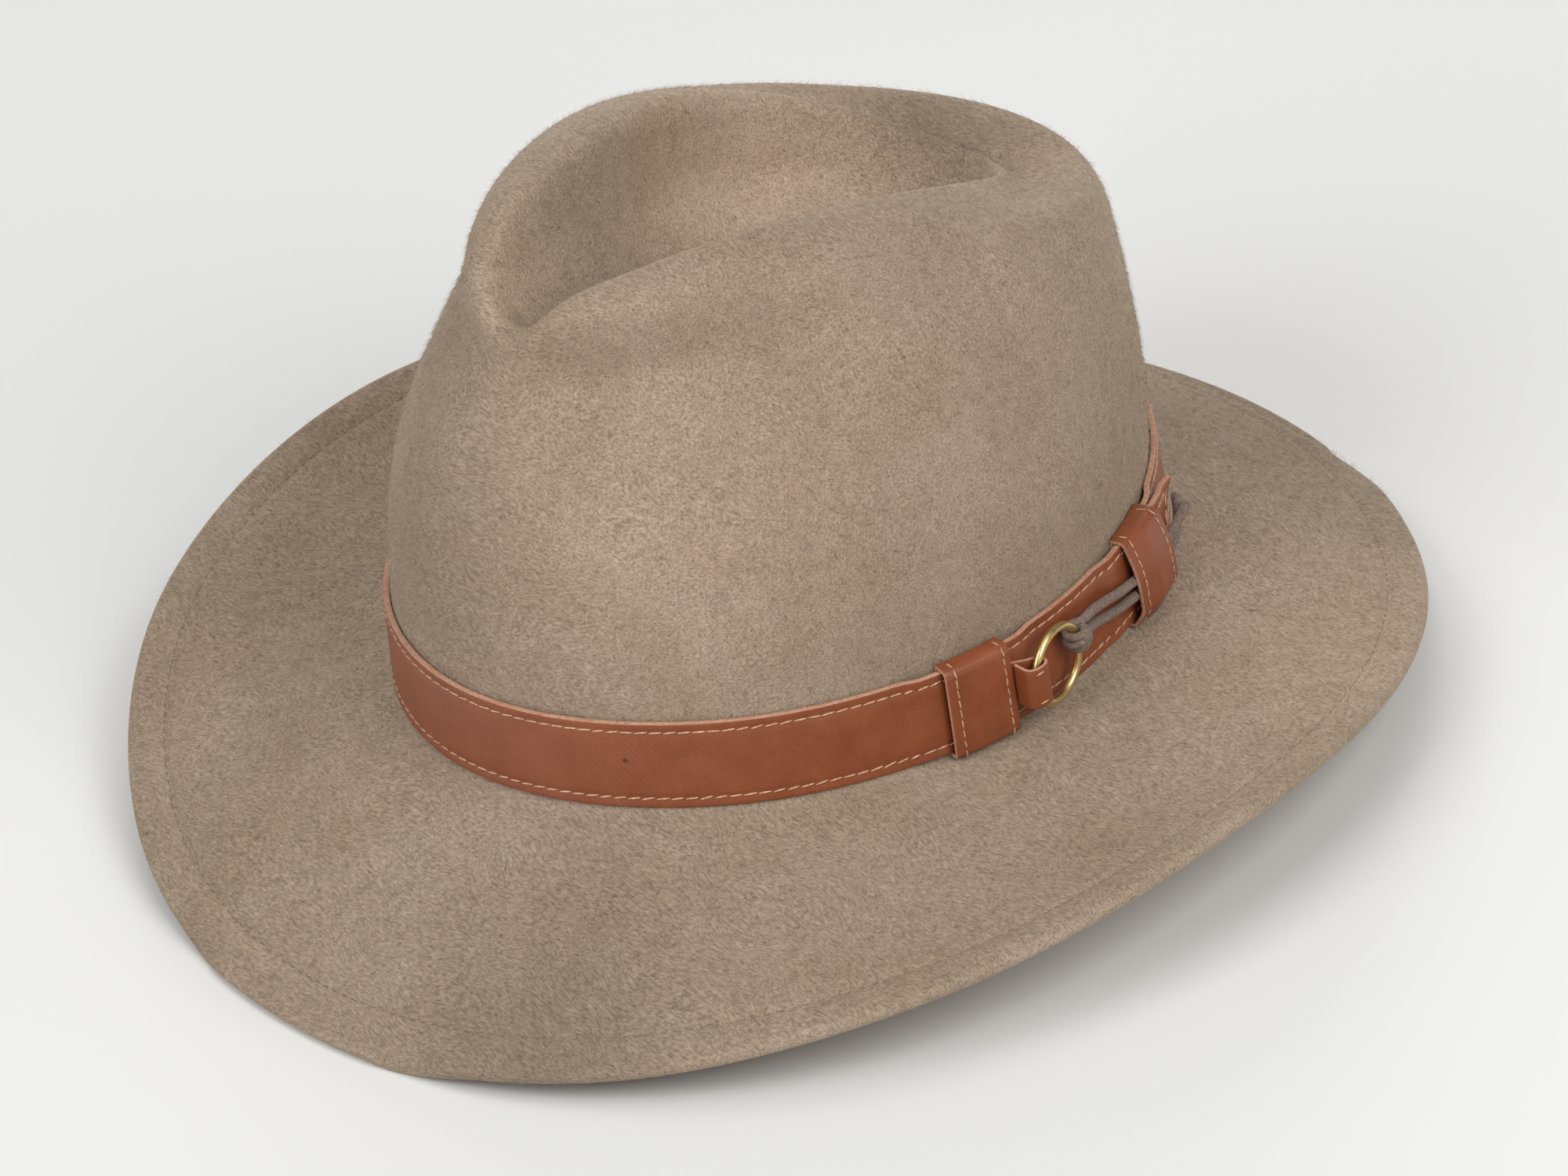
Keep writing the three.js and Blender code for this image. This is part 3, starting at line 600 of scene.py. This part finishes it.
hemDistances = np.linspace(hemInner, edgeRadius, feltBody["hemRows"] + 1)[1:]
for distance in hemDistances:
    upper.append(brimPoint(angles, 1 - distance / reachAll))
upper = np.array(upper)
fromEdge = np.full(len(upper), 99.0)  # away from the hem it only has to be far
fromEdge[-feltBody["hemRows"]:] = hemDistances
walls = np.where(fromEdge <= hat["hemWidth"], hat["hemThickness"], hat["felt"])

# The felt's directions: along a column, round a row, and out of its upper side.
down = np.gradient(upper, axis=0)
across = np.empty_like(upper)
across[:, 1:-1] = upper[:, 2:] - upper[:, :-2]
across[:, 0] = across[:, -1] = upper[:, 1] - upper[:, -2]
normals = np.cross(down, across)
cellSizes = np.linalg.norm(normals, axis=-1, keepdims=True)
normals = np.where(cellSizes > 1e-6, normals / np.maximum(cellSizes, 1e-6), (0, 0, 1))
normals[0] = (0, 0, 1)
if normals[len(normals) // 3, 0, 1] > 0:  # in front they have to point forwards
    normals[1:] *= -1
lower = upper - normals * walls[:, None, None]

# the felt gives way where it rests on the table
height = lower[..., 2] - restPlane(lower[..., 1])
press = hat["restPress"]
change = np.where(height < 2 * press, np.maximum(0, 2 * (height - press)) - height, 0)
upper[..., 2] += change
lower[..., 2] += change
# the hem is sewn: a shallow groove on top, and the felt between it and the edge swells
fromSeam = fromEdge - hat["hemWidth"] + feltBody["seamOut"]
grooveDepth = feltBody["groove"] * np.exp(-(fromSeam / feltBody["grooveWidth"]) ** 2)
swell = (fromEdge - feltBody["puffFromEdge"]) / feltBody["puffWidth"]
swell = feltBody["puff"] * np.exp(-swell ** 2)
upper += normals * (swell - grooveDepth)[:, None, None]
outAtEdge = upper[-1] - upper[-2]
outAtEdge /= np.linalg.norm(outAtEdge, axis=-1, keepdims=True)
edgeCentre = (upper[-1] + lower[-1]) / 2
edgeNormal = (upper[-1] - lower[-1]) / 2
edgeRows = []
for turn in np.linspace(math.pi / 2, -math.pi / 2, feltBody["roundRows"] + 2)[1:-1]:
    edgeRows.append(edgeCentre + edgeNormal * math.sin(turn)
                    + outAtEdge * edgeRadius * math.cos(turn))
thinned = [i for i in range(len(upper))
           if i < feltBody["innerFirst"] or i % 2 or i > len(upper) - feltBody["innerLast"]]
feltPoints = np.concatenate([upper, edgeRows, lower[thinned][::-1]])
feltPoints[..., 2] = np.maximum(feltPoints[..., 2], restPlane(feltPoints[..., 1]))
bm = laidSheet(feltPoints)
bmesh.ops.recalc_face_normals(bm, faces=bm.faces)
feltPiece = finished("felt_hat", bm, [felt])
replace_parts(feltPiece, "felt_body")
print("felt made with", len(feltPiece.data.polygons), "faces")

# The longest hairs of the nap, as thin spikes that lean over on the upper side of the
# felt. An array makes the copies, and each is then laid in its own place.
napHair = dict(
    count=40000, length=2.4, lengths=(0.5, 1.25), thickness=0.09, seed=11,
    lean=66, leanScatter=9,  # degrees from upright
    # each hair is turned on the felt, in radians: by a sway over the x and y of its
    # place, by a drift over its y and z, and by chance
    sway=1.3, swayX=31, swayY=47, drift=0.9, driftY=23, driftZ=37, scatter=0.7,
)


def napHairs(name, first, last):
    dice, count = np.random.default_rng(napHair["seed"] + first), napHair["count"]
    bm = bmesh.new()
    bmesh.ops.create_cone(bm, cap_ends=True, segments=3, radius1=0.5, radius2=0, depth=1,
                          matrix=Matrix.Translation((0, 0, 0.5)))
    bmesh.ops.remove_doubles(bm, verts=bm.verts, dist=0.001)
    piece = finished(name, bm, [hair], smooth=False)
    spike = np.array([vert.co for vert in piece.data.vertices])
    copies = piece.modifiers.new("copies", "ARRAY")
    copies.count, copies.use_relative_offset = count, False
    modified(piece)
    cells = cellSizes[first:last, :-1, 0]
    chosen = dice.choice(cells.size, count, p=(cells / cells.sum()).ravel())
    row, column = chosen // cells.shape[1] + first, chosen % cells.shape[1]
    along, aside = down[row, column], across[row, column]
    root = upper[row, column] + along * dice.random((count, 1))
    root = root + aside * dice.random((count, 1)) / 2
    x, y, z = root.T
    sway = np.sin(x / napHair["swayX"] + 2 * np.sin(y / napHair["swayY"]))
    drift = np.sin(y / napHair["driftY"] + z / napHair["driftZ"])
    turn = napHair["sway"] * sway + napHair["drift"] * drift
    turn = (turn + dice.normal(0, napHair["scatter"], count))[:, None]
    along = along / np.linalg.norm(along, axis=1, keepdims=True)
    aside = aside / np.linalg.norm(aside, axis=1, keepdims=True)
    lean = np.radians(dice.normal(napHair["lean"], napHair["leanScatter"], (count, 1)))
    ahead = (along * np.cos(turn) + aside * np.sin(turn)) * np.sin(lean)
    ahead = ahead + normals[row, column] * np.cos(lean)
    side = np.cross(ahead, normals[row, column])
    long = napHair["length"] * dice.uniform(*napHair["lengths"], (count, 1))
    placed = (root[:, None] + napHair["thickness"] * spike[:, 0, None] * side[:, None]
              + napHair["thickness"] * spike[:, 1, None] * normals[row, column][:, None]
              + spike[:, 2, None] * (ahead * long)[:, None])
    placed[..., 2] = np.maximum(placed[..., 2], restPlane(placed[..., 1]))
    piece.data.vertices.foreach_set("co", toRow(placed).ravel())
    piece.data.update()


# no hairs in the middle of the crease, behind the strap or just below it
bareRows = 4
strapRows = feltBody["crownRows"], feltBody["crownRows"] + feltBody["wallRows"]
napHairs("nap_crown", bareRows, strapRows[0])
napHairs("nap_brim", strapRows[1] + bareRows, len(upper) - 1)
print("nap made")

# The strap and what is fixed to it, with sizes as in the solid model.
band = dict(
    gap=0.3, thickness=1.6, bottom=1.5, top=24.1, loop=0.9,
    ramp=6, step=5.2,  # the strap rises over the ramp, and is up a step before a loop
    sleeveStart=125, sleeveWidth=18.5, keeperStart=191, keeperWidth=16.5,
    tip=14, tipCut=12.5, flare=3,
    freeBottom=0.8,  # away from the loops the strap sits down on the brim
    stitchIn=2.3, grooveDepth=0.22, grooveWidth=0.8,  # the sewn line, in from the edges
    firstStitch=2, lastStitch=2.6, endStitch=2.4,  # in from the hidden and the cut end
    columnStep=1.9, sewnZone=4,  # rows of points are closer together in the sewn zones
    edgeRound=0.25, thinEdgeRound=0.18,  # of the strap, and of the thinner loops and tab
)
sleeveEnd = band["sleeveStart"] + band["sleeveWidth"]
keeperEnd = band["keeperStart"] + band["keeperWidth"]


def covered(along):
    total = 0
    for start, end in ((band["sleeveStart"], sleeveEnd), (band["keeperStart"], keeperEnd)):
        low, high = start - band["step"], end + band["step"]
        rise = smoothStep(along, low - band["ramp"], low)
        total = total + rise * (1 - smoothStep(along, high, high + band["ramp"]))
    return total


climbLength = band["keeperWidth"] / 2  # in the keeper one layer climbs onto the other
strapStart = band["keeperStart"] + climbLength
strapEnd = girth + keeperEnd + band["tip"]


def climbed(along):
    return (band["thickness"] + band["gap"]) * smoothStep(along, 0, climbLength)


def strapInside(travel):
    pastKeeper = np.clip((travel - girth - keeperEnd) / band["tip"], 0, None)
    return (band["gap"] + covered(travel % girth) * (band["loop"] + band["gap"])
            + climbed(travel - girth - band["keeperStart"]) + band["flare"] * pastKeeper ** 2)


# The strap's outer face: travel along it, and up from its lower to its upper edge.
def strapFace(travel, up):
    rise = (up - band["bottom"]) / (band["top"] - band["bottom"])
    cut = np.clip((travel - strapEnd + band["tip"]) / band["tip"], 0, 1)
    slanted = travel - cut * band["tipCut"] * (1 - rise)
    drop = (band["bottom"] - band["freeBottom"]) * (1 - covered(slanted % girth)) * (1 - rise)
    fromSide = np.minimum(up - band["bottom"], band["top"] - up)
    fromStitches = (fromSide - band["stitchIn"]) / band["grooveWidth"]
    groove = band["grooveDepth"] * np.exp(-fromStitches ** 2)
    out = strapInside(slanted) + band["thickness"] - groove
    return onBand(slanted, out, up - drop)


# Turns the faces of a sheet round if they look towards the head.
def facingOut(bm):
    bm.normal_update()
    total = 0
    for face in bm.faces:
        centre = face.calc_center_median()
        total += face.normal.dot(Vector((centre.x, centre.y, 0))) * face.calc_area()
    if total < 0:
        bmesh.ops.reverse_faces(bm, faces=bm.faces)


# Leather of one thickness with raw cut edges. The sheet of points is its outer face, or
# its middle with an offset of 0.
def leatherSheet(name, points, thickness, edgeRound, offset=-1):
    bm = laidSheet(points)
    facingOut(bm)
    piece = finished(name, bm, [leather, rawEdge])
    wall = piece.modifiers.new("wall", "SOLIDIFY")
    wall.thickness, wall.offset = thickness * mm, offset
    wall.use_even_offset = True
    wall.material_offset_rim = 1
    corners = piece.modifiers.new("corners", "BEVEL")
    corners.width, corners.segments, corners.profile = edgeRound * mm, 2, 0.5
    corners.limit_method, corners.angle_limit = "ANGLE", hardCorner
    corners.material = -1
    modified(piece)
    return piece


travel = np.arange(strapStart, strapEnd + band["columnStep"], band["columnStep"])
travel[-1] = strapEnd
ups = np.concatenate([
    np.linspace(band["bottom"], band["bottom"] + band["sewnZone"], 9)[:-1],
    np.linspace(band["bottom"] + band["sewnZone"], band["top"] - band["sewnZone"], 7),
    np.linspace(band["top"] - band["sewnZone"], band["top"], 9)[1:],
])
strapPoints = strapFace(*np.meshgrid(travel, ups))
strapPiece = leatherSheet("strap_leather", strapPoints, band["thickness"], band["edgeRound"])
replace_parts(strapPiece, "band_strap")
print("strap made with", len(strapPiece.data.polygons), "faces")


# A closed outline with its corners rounded, from corners given as out, up and radius.
def roundedOutline(corners):
    points, roundSteps, sideSteps = [], 6, 8
    corners = np.array(corners, float)
    count = len(corners)
    for i in range(count):
        before, here, after = corners[i - 1], corners[i], corners[(i + 1) % count]
        toBefore = (before - here)[:2] / np.linalg.norm((before - here)[:2])
        toAfter = (after - here)[:2] / np.linalg.norm((after - here)[:2])
        start, end = here[:2] + toBefore * here[2], here[:2] + toAfter * here[2]
        for t in np.linspace(0, 1, roundSteps):
            points.append((1 - t) ** 2 * start + 2 * t * (1 - t) * here[:2] + t * t * end)
        nextStart = after[:2] - toAfter * after[2]
        for t in np.linspace(0, 1, sideSteps + 1)[1:-1]:
            points.append(end + (nextStart - end) * t)
    return np.array(points + [points[0]])


# Outer corners of the two loops, as out, up, radius, and 1 if the corner is carried out
# by the strap where that climbs onto its own start. Then how far in from a loop's two
# edges its stitches are: the second is counted back from the far edge.
loopOut = band["gap"]
loopLow = band["bottom"] - band["gap"] - band["loop"]
loopHigh = band["top"] + band["gap"] + band["loop"]
loopFace = 1.2  # a loop's front is what lies further out from its back than this
sleeve = dict(start=band["sleeveStart"], width=band["sleeveWidth"], steps=22, corners=[
    [loopOut, loopLow, 0.5, 0], [5.5, loopLow, 1.5, 0], [5.6, 12.5, 8, 0],
    [5.5, loopHigh, 2.4, 0], [loopOut, loopHigh, 0.6, 0],
], stitchesIn=(2.6, -2))
keeper = dict(start=band["keeperStart"], width=band["keeperWidth"], steps=24, corners=[
    [loopOut, loopLow, 0.5, 0], [4.3, loopLow, 1, 1], [7.4, 5, 1.8, 1], [7.4, 15.5, 5, 1],
    [4.3, loopHigh, 1.8, 1], [loopOut, loopHigh, 0.6, 0],
], stitchesIn=(2.2, -2.2))


def loopOutline(shape, along):
    corners = [[out + rides * climbed(along - keeper["start"]), up, radius]
               for out, up, radius, rides in shape["corners"]]
    return roundedOutline(corners)


def loopPiece(name, shape, node):
    places = np.linspace(shape["start"], shape["start"] + shape["width"], shape["steps"] + 1)
    outlines = np.array([loopOutline(shape, along) for along in places])
    points = onBand(places[:, None], outlines[..., 0], outlines[..., 1])
    points = np.swapaxes(points, 0, 1)
    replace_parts(leatherSheet(name, points, band["loop"], band["thinEdgeRound"]), node)


loopPiece("sleeve_leather", sleeve, "sleeve_front")
loopPiece("keeper_leather", keeper, "keeper_rear")
print("loops made")

# The ring: its own frame has X towards the back along the strap, Y up and Z outwards.
ring = dict(up=13.7, swing=10, radius=9.6, wire=2.2, around=120, section=24, knotWall=2)
swing = math.radians(ring["swing"])
pocket = ring["wire"] / 2 + 1.5 * band["gap"]  # inside of what goes round the wire
tabStart = sleeveEnd + band["gap"]
knotReach = pocket + ring["knotWall"]  # from the wire's middle to the knot's outside
ring["along"] = tabStart + band["loop"] + pocket + ring["radius"] * math.cos(swing)
ring["out"] = (band["thickness"] + 2 * band["gap"] + knotReach
               + ring["radius"] * math.sin(swing))
ringAngle = np.interp(ring["along"], ovalLengths, ovalAngles)
ringOutward = Vector((*headOval(ringAngle)[1], 0))
ringUp = Vector((0, 0, 1))
ringFrame = Matrix((ringUp.cross(ringOutward), ringUp, ringOutward)).transposed().to_4x4()
ringFrame = ringFrame @ Matrix.Rotation(swing, 4, "Y")
ringFrame.translation = onBand(ring["along"], ring["out"], ring["up"])


def ringToRow(bm):
    bmesh.ops.transform(bm, matrix=ringFrame, verts=bm.verts)
    for vert in bm.verts:
        vert.co = toRow(np.array(vert.co))


bm = bmesh.new()
onWire = Matrix.Translation((ring["radius"], 0, 0)) @ Matrix.Rotation(math.pi / 2, 4, "X")
bmesh.ops.create_circle(bm, segments=ring["section"], radius=ring["wire"] / 2, matrix=onWire)
bmesh.ops.spin(bm, geom=bm.edges[:] + bm.verts[:], cent=(0, 0, 0), axis=(0, 0, 1),
               angle=2 * math.pi, steps=ring["around"], use_merge=True)
ringToRow(bm)
bmesh.ops.recalc_face_normals(bm, faces=bm.faces)
ringPiece = finished("ring_brass", bm, [brass])
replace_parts(ringPiece, "brass_ring")

# The tab runs out from under the sleeve, folds round the wire inside the ring and comes
# back over it. Its line is the middle of the leather, as distances along and out.
tab = dict(height=11, tail=12, soften=7, spacing=0.35, rows=11, stitchIn=1.4)
# how far the wire is from the ring's middle where the tab's edges cross it
inside = math.sqrt(ring["radius"] ** 2 - (tab["height"] / 2) ** 2) * math.cos(swing)
foldAlong = ring["along"] - inside + ring["wire"] / 2 * (ring["radius"] / inside - 1)
# the felt curves away from the flat ring, so the wire is further out there
bandRadius = girth / (2 * math.pi)
foldOut = ring["out"] + inside * math.tan(swing) + inside ** 2 / (2 * bandRadius)
tail = 4 * band["gap"] + 1.5 * band["loop"] + band["thickness"]
foldRadius = pocket + band["gap"] + band["loop"] / 2
tabCorners = [[sleeveEnd - tab["tail"], tail], [tabStart, tail]]
for turn in np.linspace(-math.pi / 2, math.pi / 2, 9):
    tabCorners.append([foldAlong + foldRadius * math.cos(turn),
                       foldOut + foldRadius * math.sin(turn)])
tabCorners += [
    [tabStart + band["loop"] + foldRadius / 2, foldOut + foldRadius],
    [tabStart + band["loop"] / 2, foldOut + foldRadius / 2],
    [tabStart + band["loop"] / 2, tail + band["loop"] + band["gap"]],
]


# A line through the corners with evenly spaced points, each the mean of so many.
def softened(corners, spacing, spread):
    corners = np.array(corners, float)
    lengths = lengthsAlong(corners)
    places = np.linspace(0, lengths[-1], int(lengths[-1] / spacing))
    line = np.stack([np.interp(places, lengths, corners[:, i]) for i in (0, 1)], 1)
    padded = np.pad(line, ((spread // 2, spread // 2), (0, 0)), "edge")
    mean = np.ones(spread) / spread
    return np.stack([np.convolve(padded[:, i], mean, "valid") for i in (0, 1)], 1)


tabLine = softened(tabCorners, tab["spacing"], tab["soften"])
tabLow, tabHigh = ring["up"] - tab["height"] / 2, ring["up"] + tab["height"] / 2
tabPoints = onBand(tabLine[:, :1], tabLine[:, 1:], np.linspace(tabLow, tabHigh, tab["rows"]))
tabPiece = leatherSheet("tab_leather", tabPoints, band["loop"], band["thinEdgeRound"], offset=0)
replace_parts(tabPiece, "ring_tab")
print("ring and tab made")

# The knot: the cord is wound round the wire from one side to the other, and comes back
# across its own turns. It starts and ends at the two cord ends.
knot = dict(
    cord=2.1, sides=14, gap=0.1, angle=15, halfWidth=2.3, steps=220,
    inner=2.75, innerSteps=40,  # turns on the wire
    outer=1.75, outerSteps=24, outerWidth=0.8,  # turns back across them
    swell=1, swellMean=0.65, swellWave=0.35, swellStart=0.2,  # and how far those stand out
)
knotRadius = ring["wire"] / 2 + knot["cord"] / 2 + knot["gap"]
knotAngle = math.radians(knot["angle"])


def knotPoint(turn, side, grow):  # a point round the wire, beside the knot's middle
    radial = ring["radius"] + (knotRadius + grow) * math.cos(turn)
    place = Vector((radial, side, (knotRadius + grow) * math.sin(turn)))
    return ringFrame @ (Matrix.Rotation(knotAngle, 4, "Z") @ place)


knotLine = [Vector(onBand(*cordEnds["cord_upper"][0]))]
for t in np.linspace(0, 1, knot["innerSteps"])[1:]:
    side = knot["halfWidth"] * math.cos(math.pi * t)
    knotLine.append(knotPoint(-2 * math.pi * knot["inner"] * t, side, 0))
for t in np.linspace(0, 1, knot["outerSteps"])[2:]:
    turn = -2 * math.pi * (knot["inner"] + knot["outer"] * t)
    side = -knot["halfWidth"] * knot["outerWidth"] * math.cos(math.pi * t)
    grow = knot["swell"] * (knot["swellMean"] + knot["swellWave"] * math.sin(turn))
    grow = grow * math.sin(math.pi * min(1, knot["swellStart"] + t))
    knotLine.append(knotPoint(turn, side, grow))
knotLine.append(Vector(onBand(*cordEnds["cord_lower"][0])))
knotPiece = tube("knot_cord", smoothLine(np.array(knotLine), knot["steps"]), knot["cord"] / 2,
                 knot["sides"], cordCotton)
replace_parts(knotPiece, "cord_knot")
print("knot made")

# Stitches: one small thread shape, repeated along each sewn line.
stitch = dict(
    length=3.3, lengthScatter=0.05, width=0.46, height=0.46, pitch=3.5, rise=0.05,
    slant=6, slantScatter=3,
)
dice = np.random.default_rng(4)


def sewn(name, lines, made, size):
    bm = bmesh.new()
    bmesh.ops.create_uvsphere(bm, u_segments=8, v_segments=6, radius=0.5)
    thread = bpy.data.meshes.new("thread")
    bm.to_mesh(thread)
    bm.clear()
    for line, normal in lines:
        lengths = lengthsAlong(line)
        count = max(1, int(lengths[-1] / (size["pitch"] * mm)))
        for k in range(count):
            middle = (k + 0.5) * lengths[-1] / count
            half = size["length"] * mm / 2
            at = [np.array([np.interp(middle + d, lengths, line[:, i]) for i in range(3)])
                  for d in (-half, 0, half)]
            up = Vector([np.interp(middle, lengths, normal[:, i]) for i in range(3)]).normalized()
            ahead = Vector(at[2] - at[0]).normalized()
            ahead = (ahead - up * ahead.dot(up)).normalized()
            slant = size["slant"] + dice.normal(0, size["slantScatter"])
            ahead.rotate(Matrix.Rotation(math.radians(slant), 3, up))
            long = size["length"] * (1 + dice.normal(0, size["lengthScatter"]))
            axes = up.cross(ahead) * size["width"], up * size["height"], ahead * long
            grid = (Matrix(axes).transposed() * mm).to_4x4()
            grid.translation = Vector(at[1]) + up * size["rise"] * mm
            before = len(bm.verts)
            bm.from_mesh(thread)
            bm.verts.ensure_lookup_table()
            for vert in bm.verts[before:]:
                vert.co = grid @ vert.co
    bpy.data.meshes.remove(thread)
    bmesh.ops.recalc_face_normals(bm, faces=bm.faces)
    finished(name, bm, [made])


# A line on a surface with the surface's direction, from points of the surface and of
# the same surface a little further out.
def sewnLine(points, furtherOut):
    line = toRow(points)
    normal = toRow(furtherOut) - line
    return line, normal / np.linalg.norm(normal, axis=1, keepdims=True)


def lineOnStrap(travel, up):
    points = strapFace(travel, up)
    further = points.copy()
    further[..., :2] += headOval(np.interp(travel % girth, ovalLengths, ovalAngles))[1]
    return sewnLine(points, further)


sewnLow, sewnHigh = band["bottom"] + band["stitchIn"], band["top"] - band["stitchIn"]
run = np.linspace(strapStart + band["firstStitch"], strapEnd - band["lastStitch"], 900)
strapLines = [lineOnStrap(run, np.full_like(run, up)) for up in (sewnLow, sewnHigh)]
cutUps = np.linspace(sewnLow, sewnHigh, 30)
strapLines.append(lineOnStrap(np.full_like(cutUps, strapEnd - band["endStitch"]), cutUps))
sewn("strap_stitches", strapLines, creamThread, stitch)


# Stitch lines round a loop's front, one beside each of its edges.
def loopLines(shape):
    lines = []
    for inset in shape["stitchesIn"]:
        along = shape["start"] + inset if inset > 0 else shape["start"] + shape["width"] + inset
        outline = loopOutline(shape, along)
        outline = outline[outline[:, 0] > loopOut + loopFace]
        heading = np.gradient(outline, axis=0)
        heading /= np.linalg.norm(heading, axis=1, keepdims=True)
        further = outline + np.stack([heading[:, 1], -heading[:, 0]], -1)
        lines.append(sewnLine(onBand(along, outline[:, 0], outline[:, 1]),
                              onBand(along, further[:, 0], further[:, 1])))
    return lines


loopStitches = loopLines(sleeve) + loopLines(keeper)
tabTop = foldOut + foldRadius + band["loop"] / 2
for up in (tabLow + tab["stitchIn"], tabHigh - tab["stitchIn"]):
    run = np.linspace(foldAlong, tabStart + tab["stitchIn"], 12)
    loopStitches.append(sewnLine(onBand(run, tabTop, up), onBand(run, tabTop + 1, up)))
fineStitch = dict(stitch, length=2.6, width=0.42, height=0.42, pitch=2.8)
sewn("loop_stitches", loopStitches, creamThread, fineStitch)

# The hem's thread shows on top and below, where it stays clear of the table.
hemStitch = dict(stitch, length=2.2, width=0.5, height=0.45, pitch=3.2, rise=-0.05, slant=3)
hemRow = int(np.argmin(np.abs(fromSeam)))
hemTop, hemNormal = sewnLine(upper[hemRow], upper[hemRow] + normals[hemRow])
hemUnder = toRow(lower[hemRow])
hemUnder[:, 2] = np.maximum(hemUnder[:, 2], 0.5 * mm)
sewn("hem_stitches", [(hemTop, hemNormal), (hemUnder, -hemNormal)], feltThread, hemStitch)
print("stitches made")

# A plain pale floor, and soft light from the front, the ring's side, the back and above.
floor = bpy.data.objects.new("floor", bpy.data.meshes.new("floor"))
bm = bmesh.new()
bmesh.ops.create_grid(bm, x_segments=1, y_segments=1, size=4)
bm.to_mesh(floor.data)
bm.free()
bpy.context.collection.objects.link(floor)
paper, tree, shader = newMaterial("paleFloor")
shader.inputs["Base Color"].default_value = hexColour("#eeeeec")
shader.inputs["Roughness"].default_value = 0.9
floor.data.materials.append(paper)

# Each light: degrees round the hat from its front towards its ring, degrees over the
# table, and power. All look at one point of the hat.
lights = dict(frontLight=(0, 40, 20), ringSideLight=(90, 40, 27), backLight=(225, 12, 25),
              topLight=(0, 88, 7))
lightSize, lightDistance, lightAim, ambient = 1.3, 2.2, Vector((0, 0, 0.08)), 0.21
for name, (turn, rise, power) in lights.items():
    turn, rise = math.radians(turn), math.radians(rise)
    flat = math.cos(rise)
    direction = Vector((math.sin(turn) * flat, -math.cos(turn) * flat, math.sin(rise)))
    lamp = bpy.data.lights.new(name, "AREA")
    lamp.size, lamp.energy = lightSize, power
    box = bpy.data.objects.new(name, lamp)
    box.location = direction.normalized() * lightDistance + lightAim
    box.rotation_euler = direction.to_track_quat("Z", "Y").to_euler()
    bpy.context.collection.objects.link(box)
world = bpy.data.worlds.new("studio")
world.use_nodes = True
background = world.node_tree.nodes["Background"].inputs
background["Color"].default_value = (1, 1, 1, 1)
background["Strength"].default_value = ambient
bpy.context.scene.world = world
bpy.context.scene.view_settings.view_transform = "Standard"
print("floor and lights made")
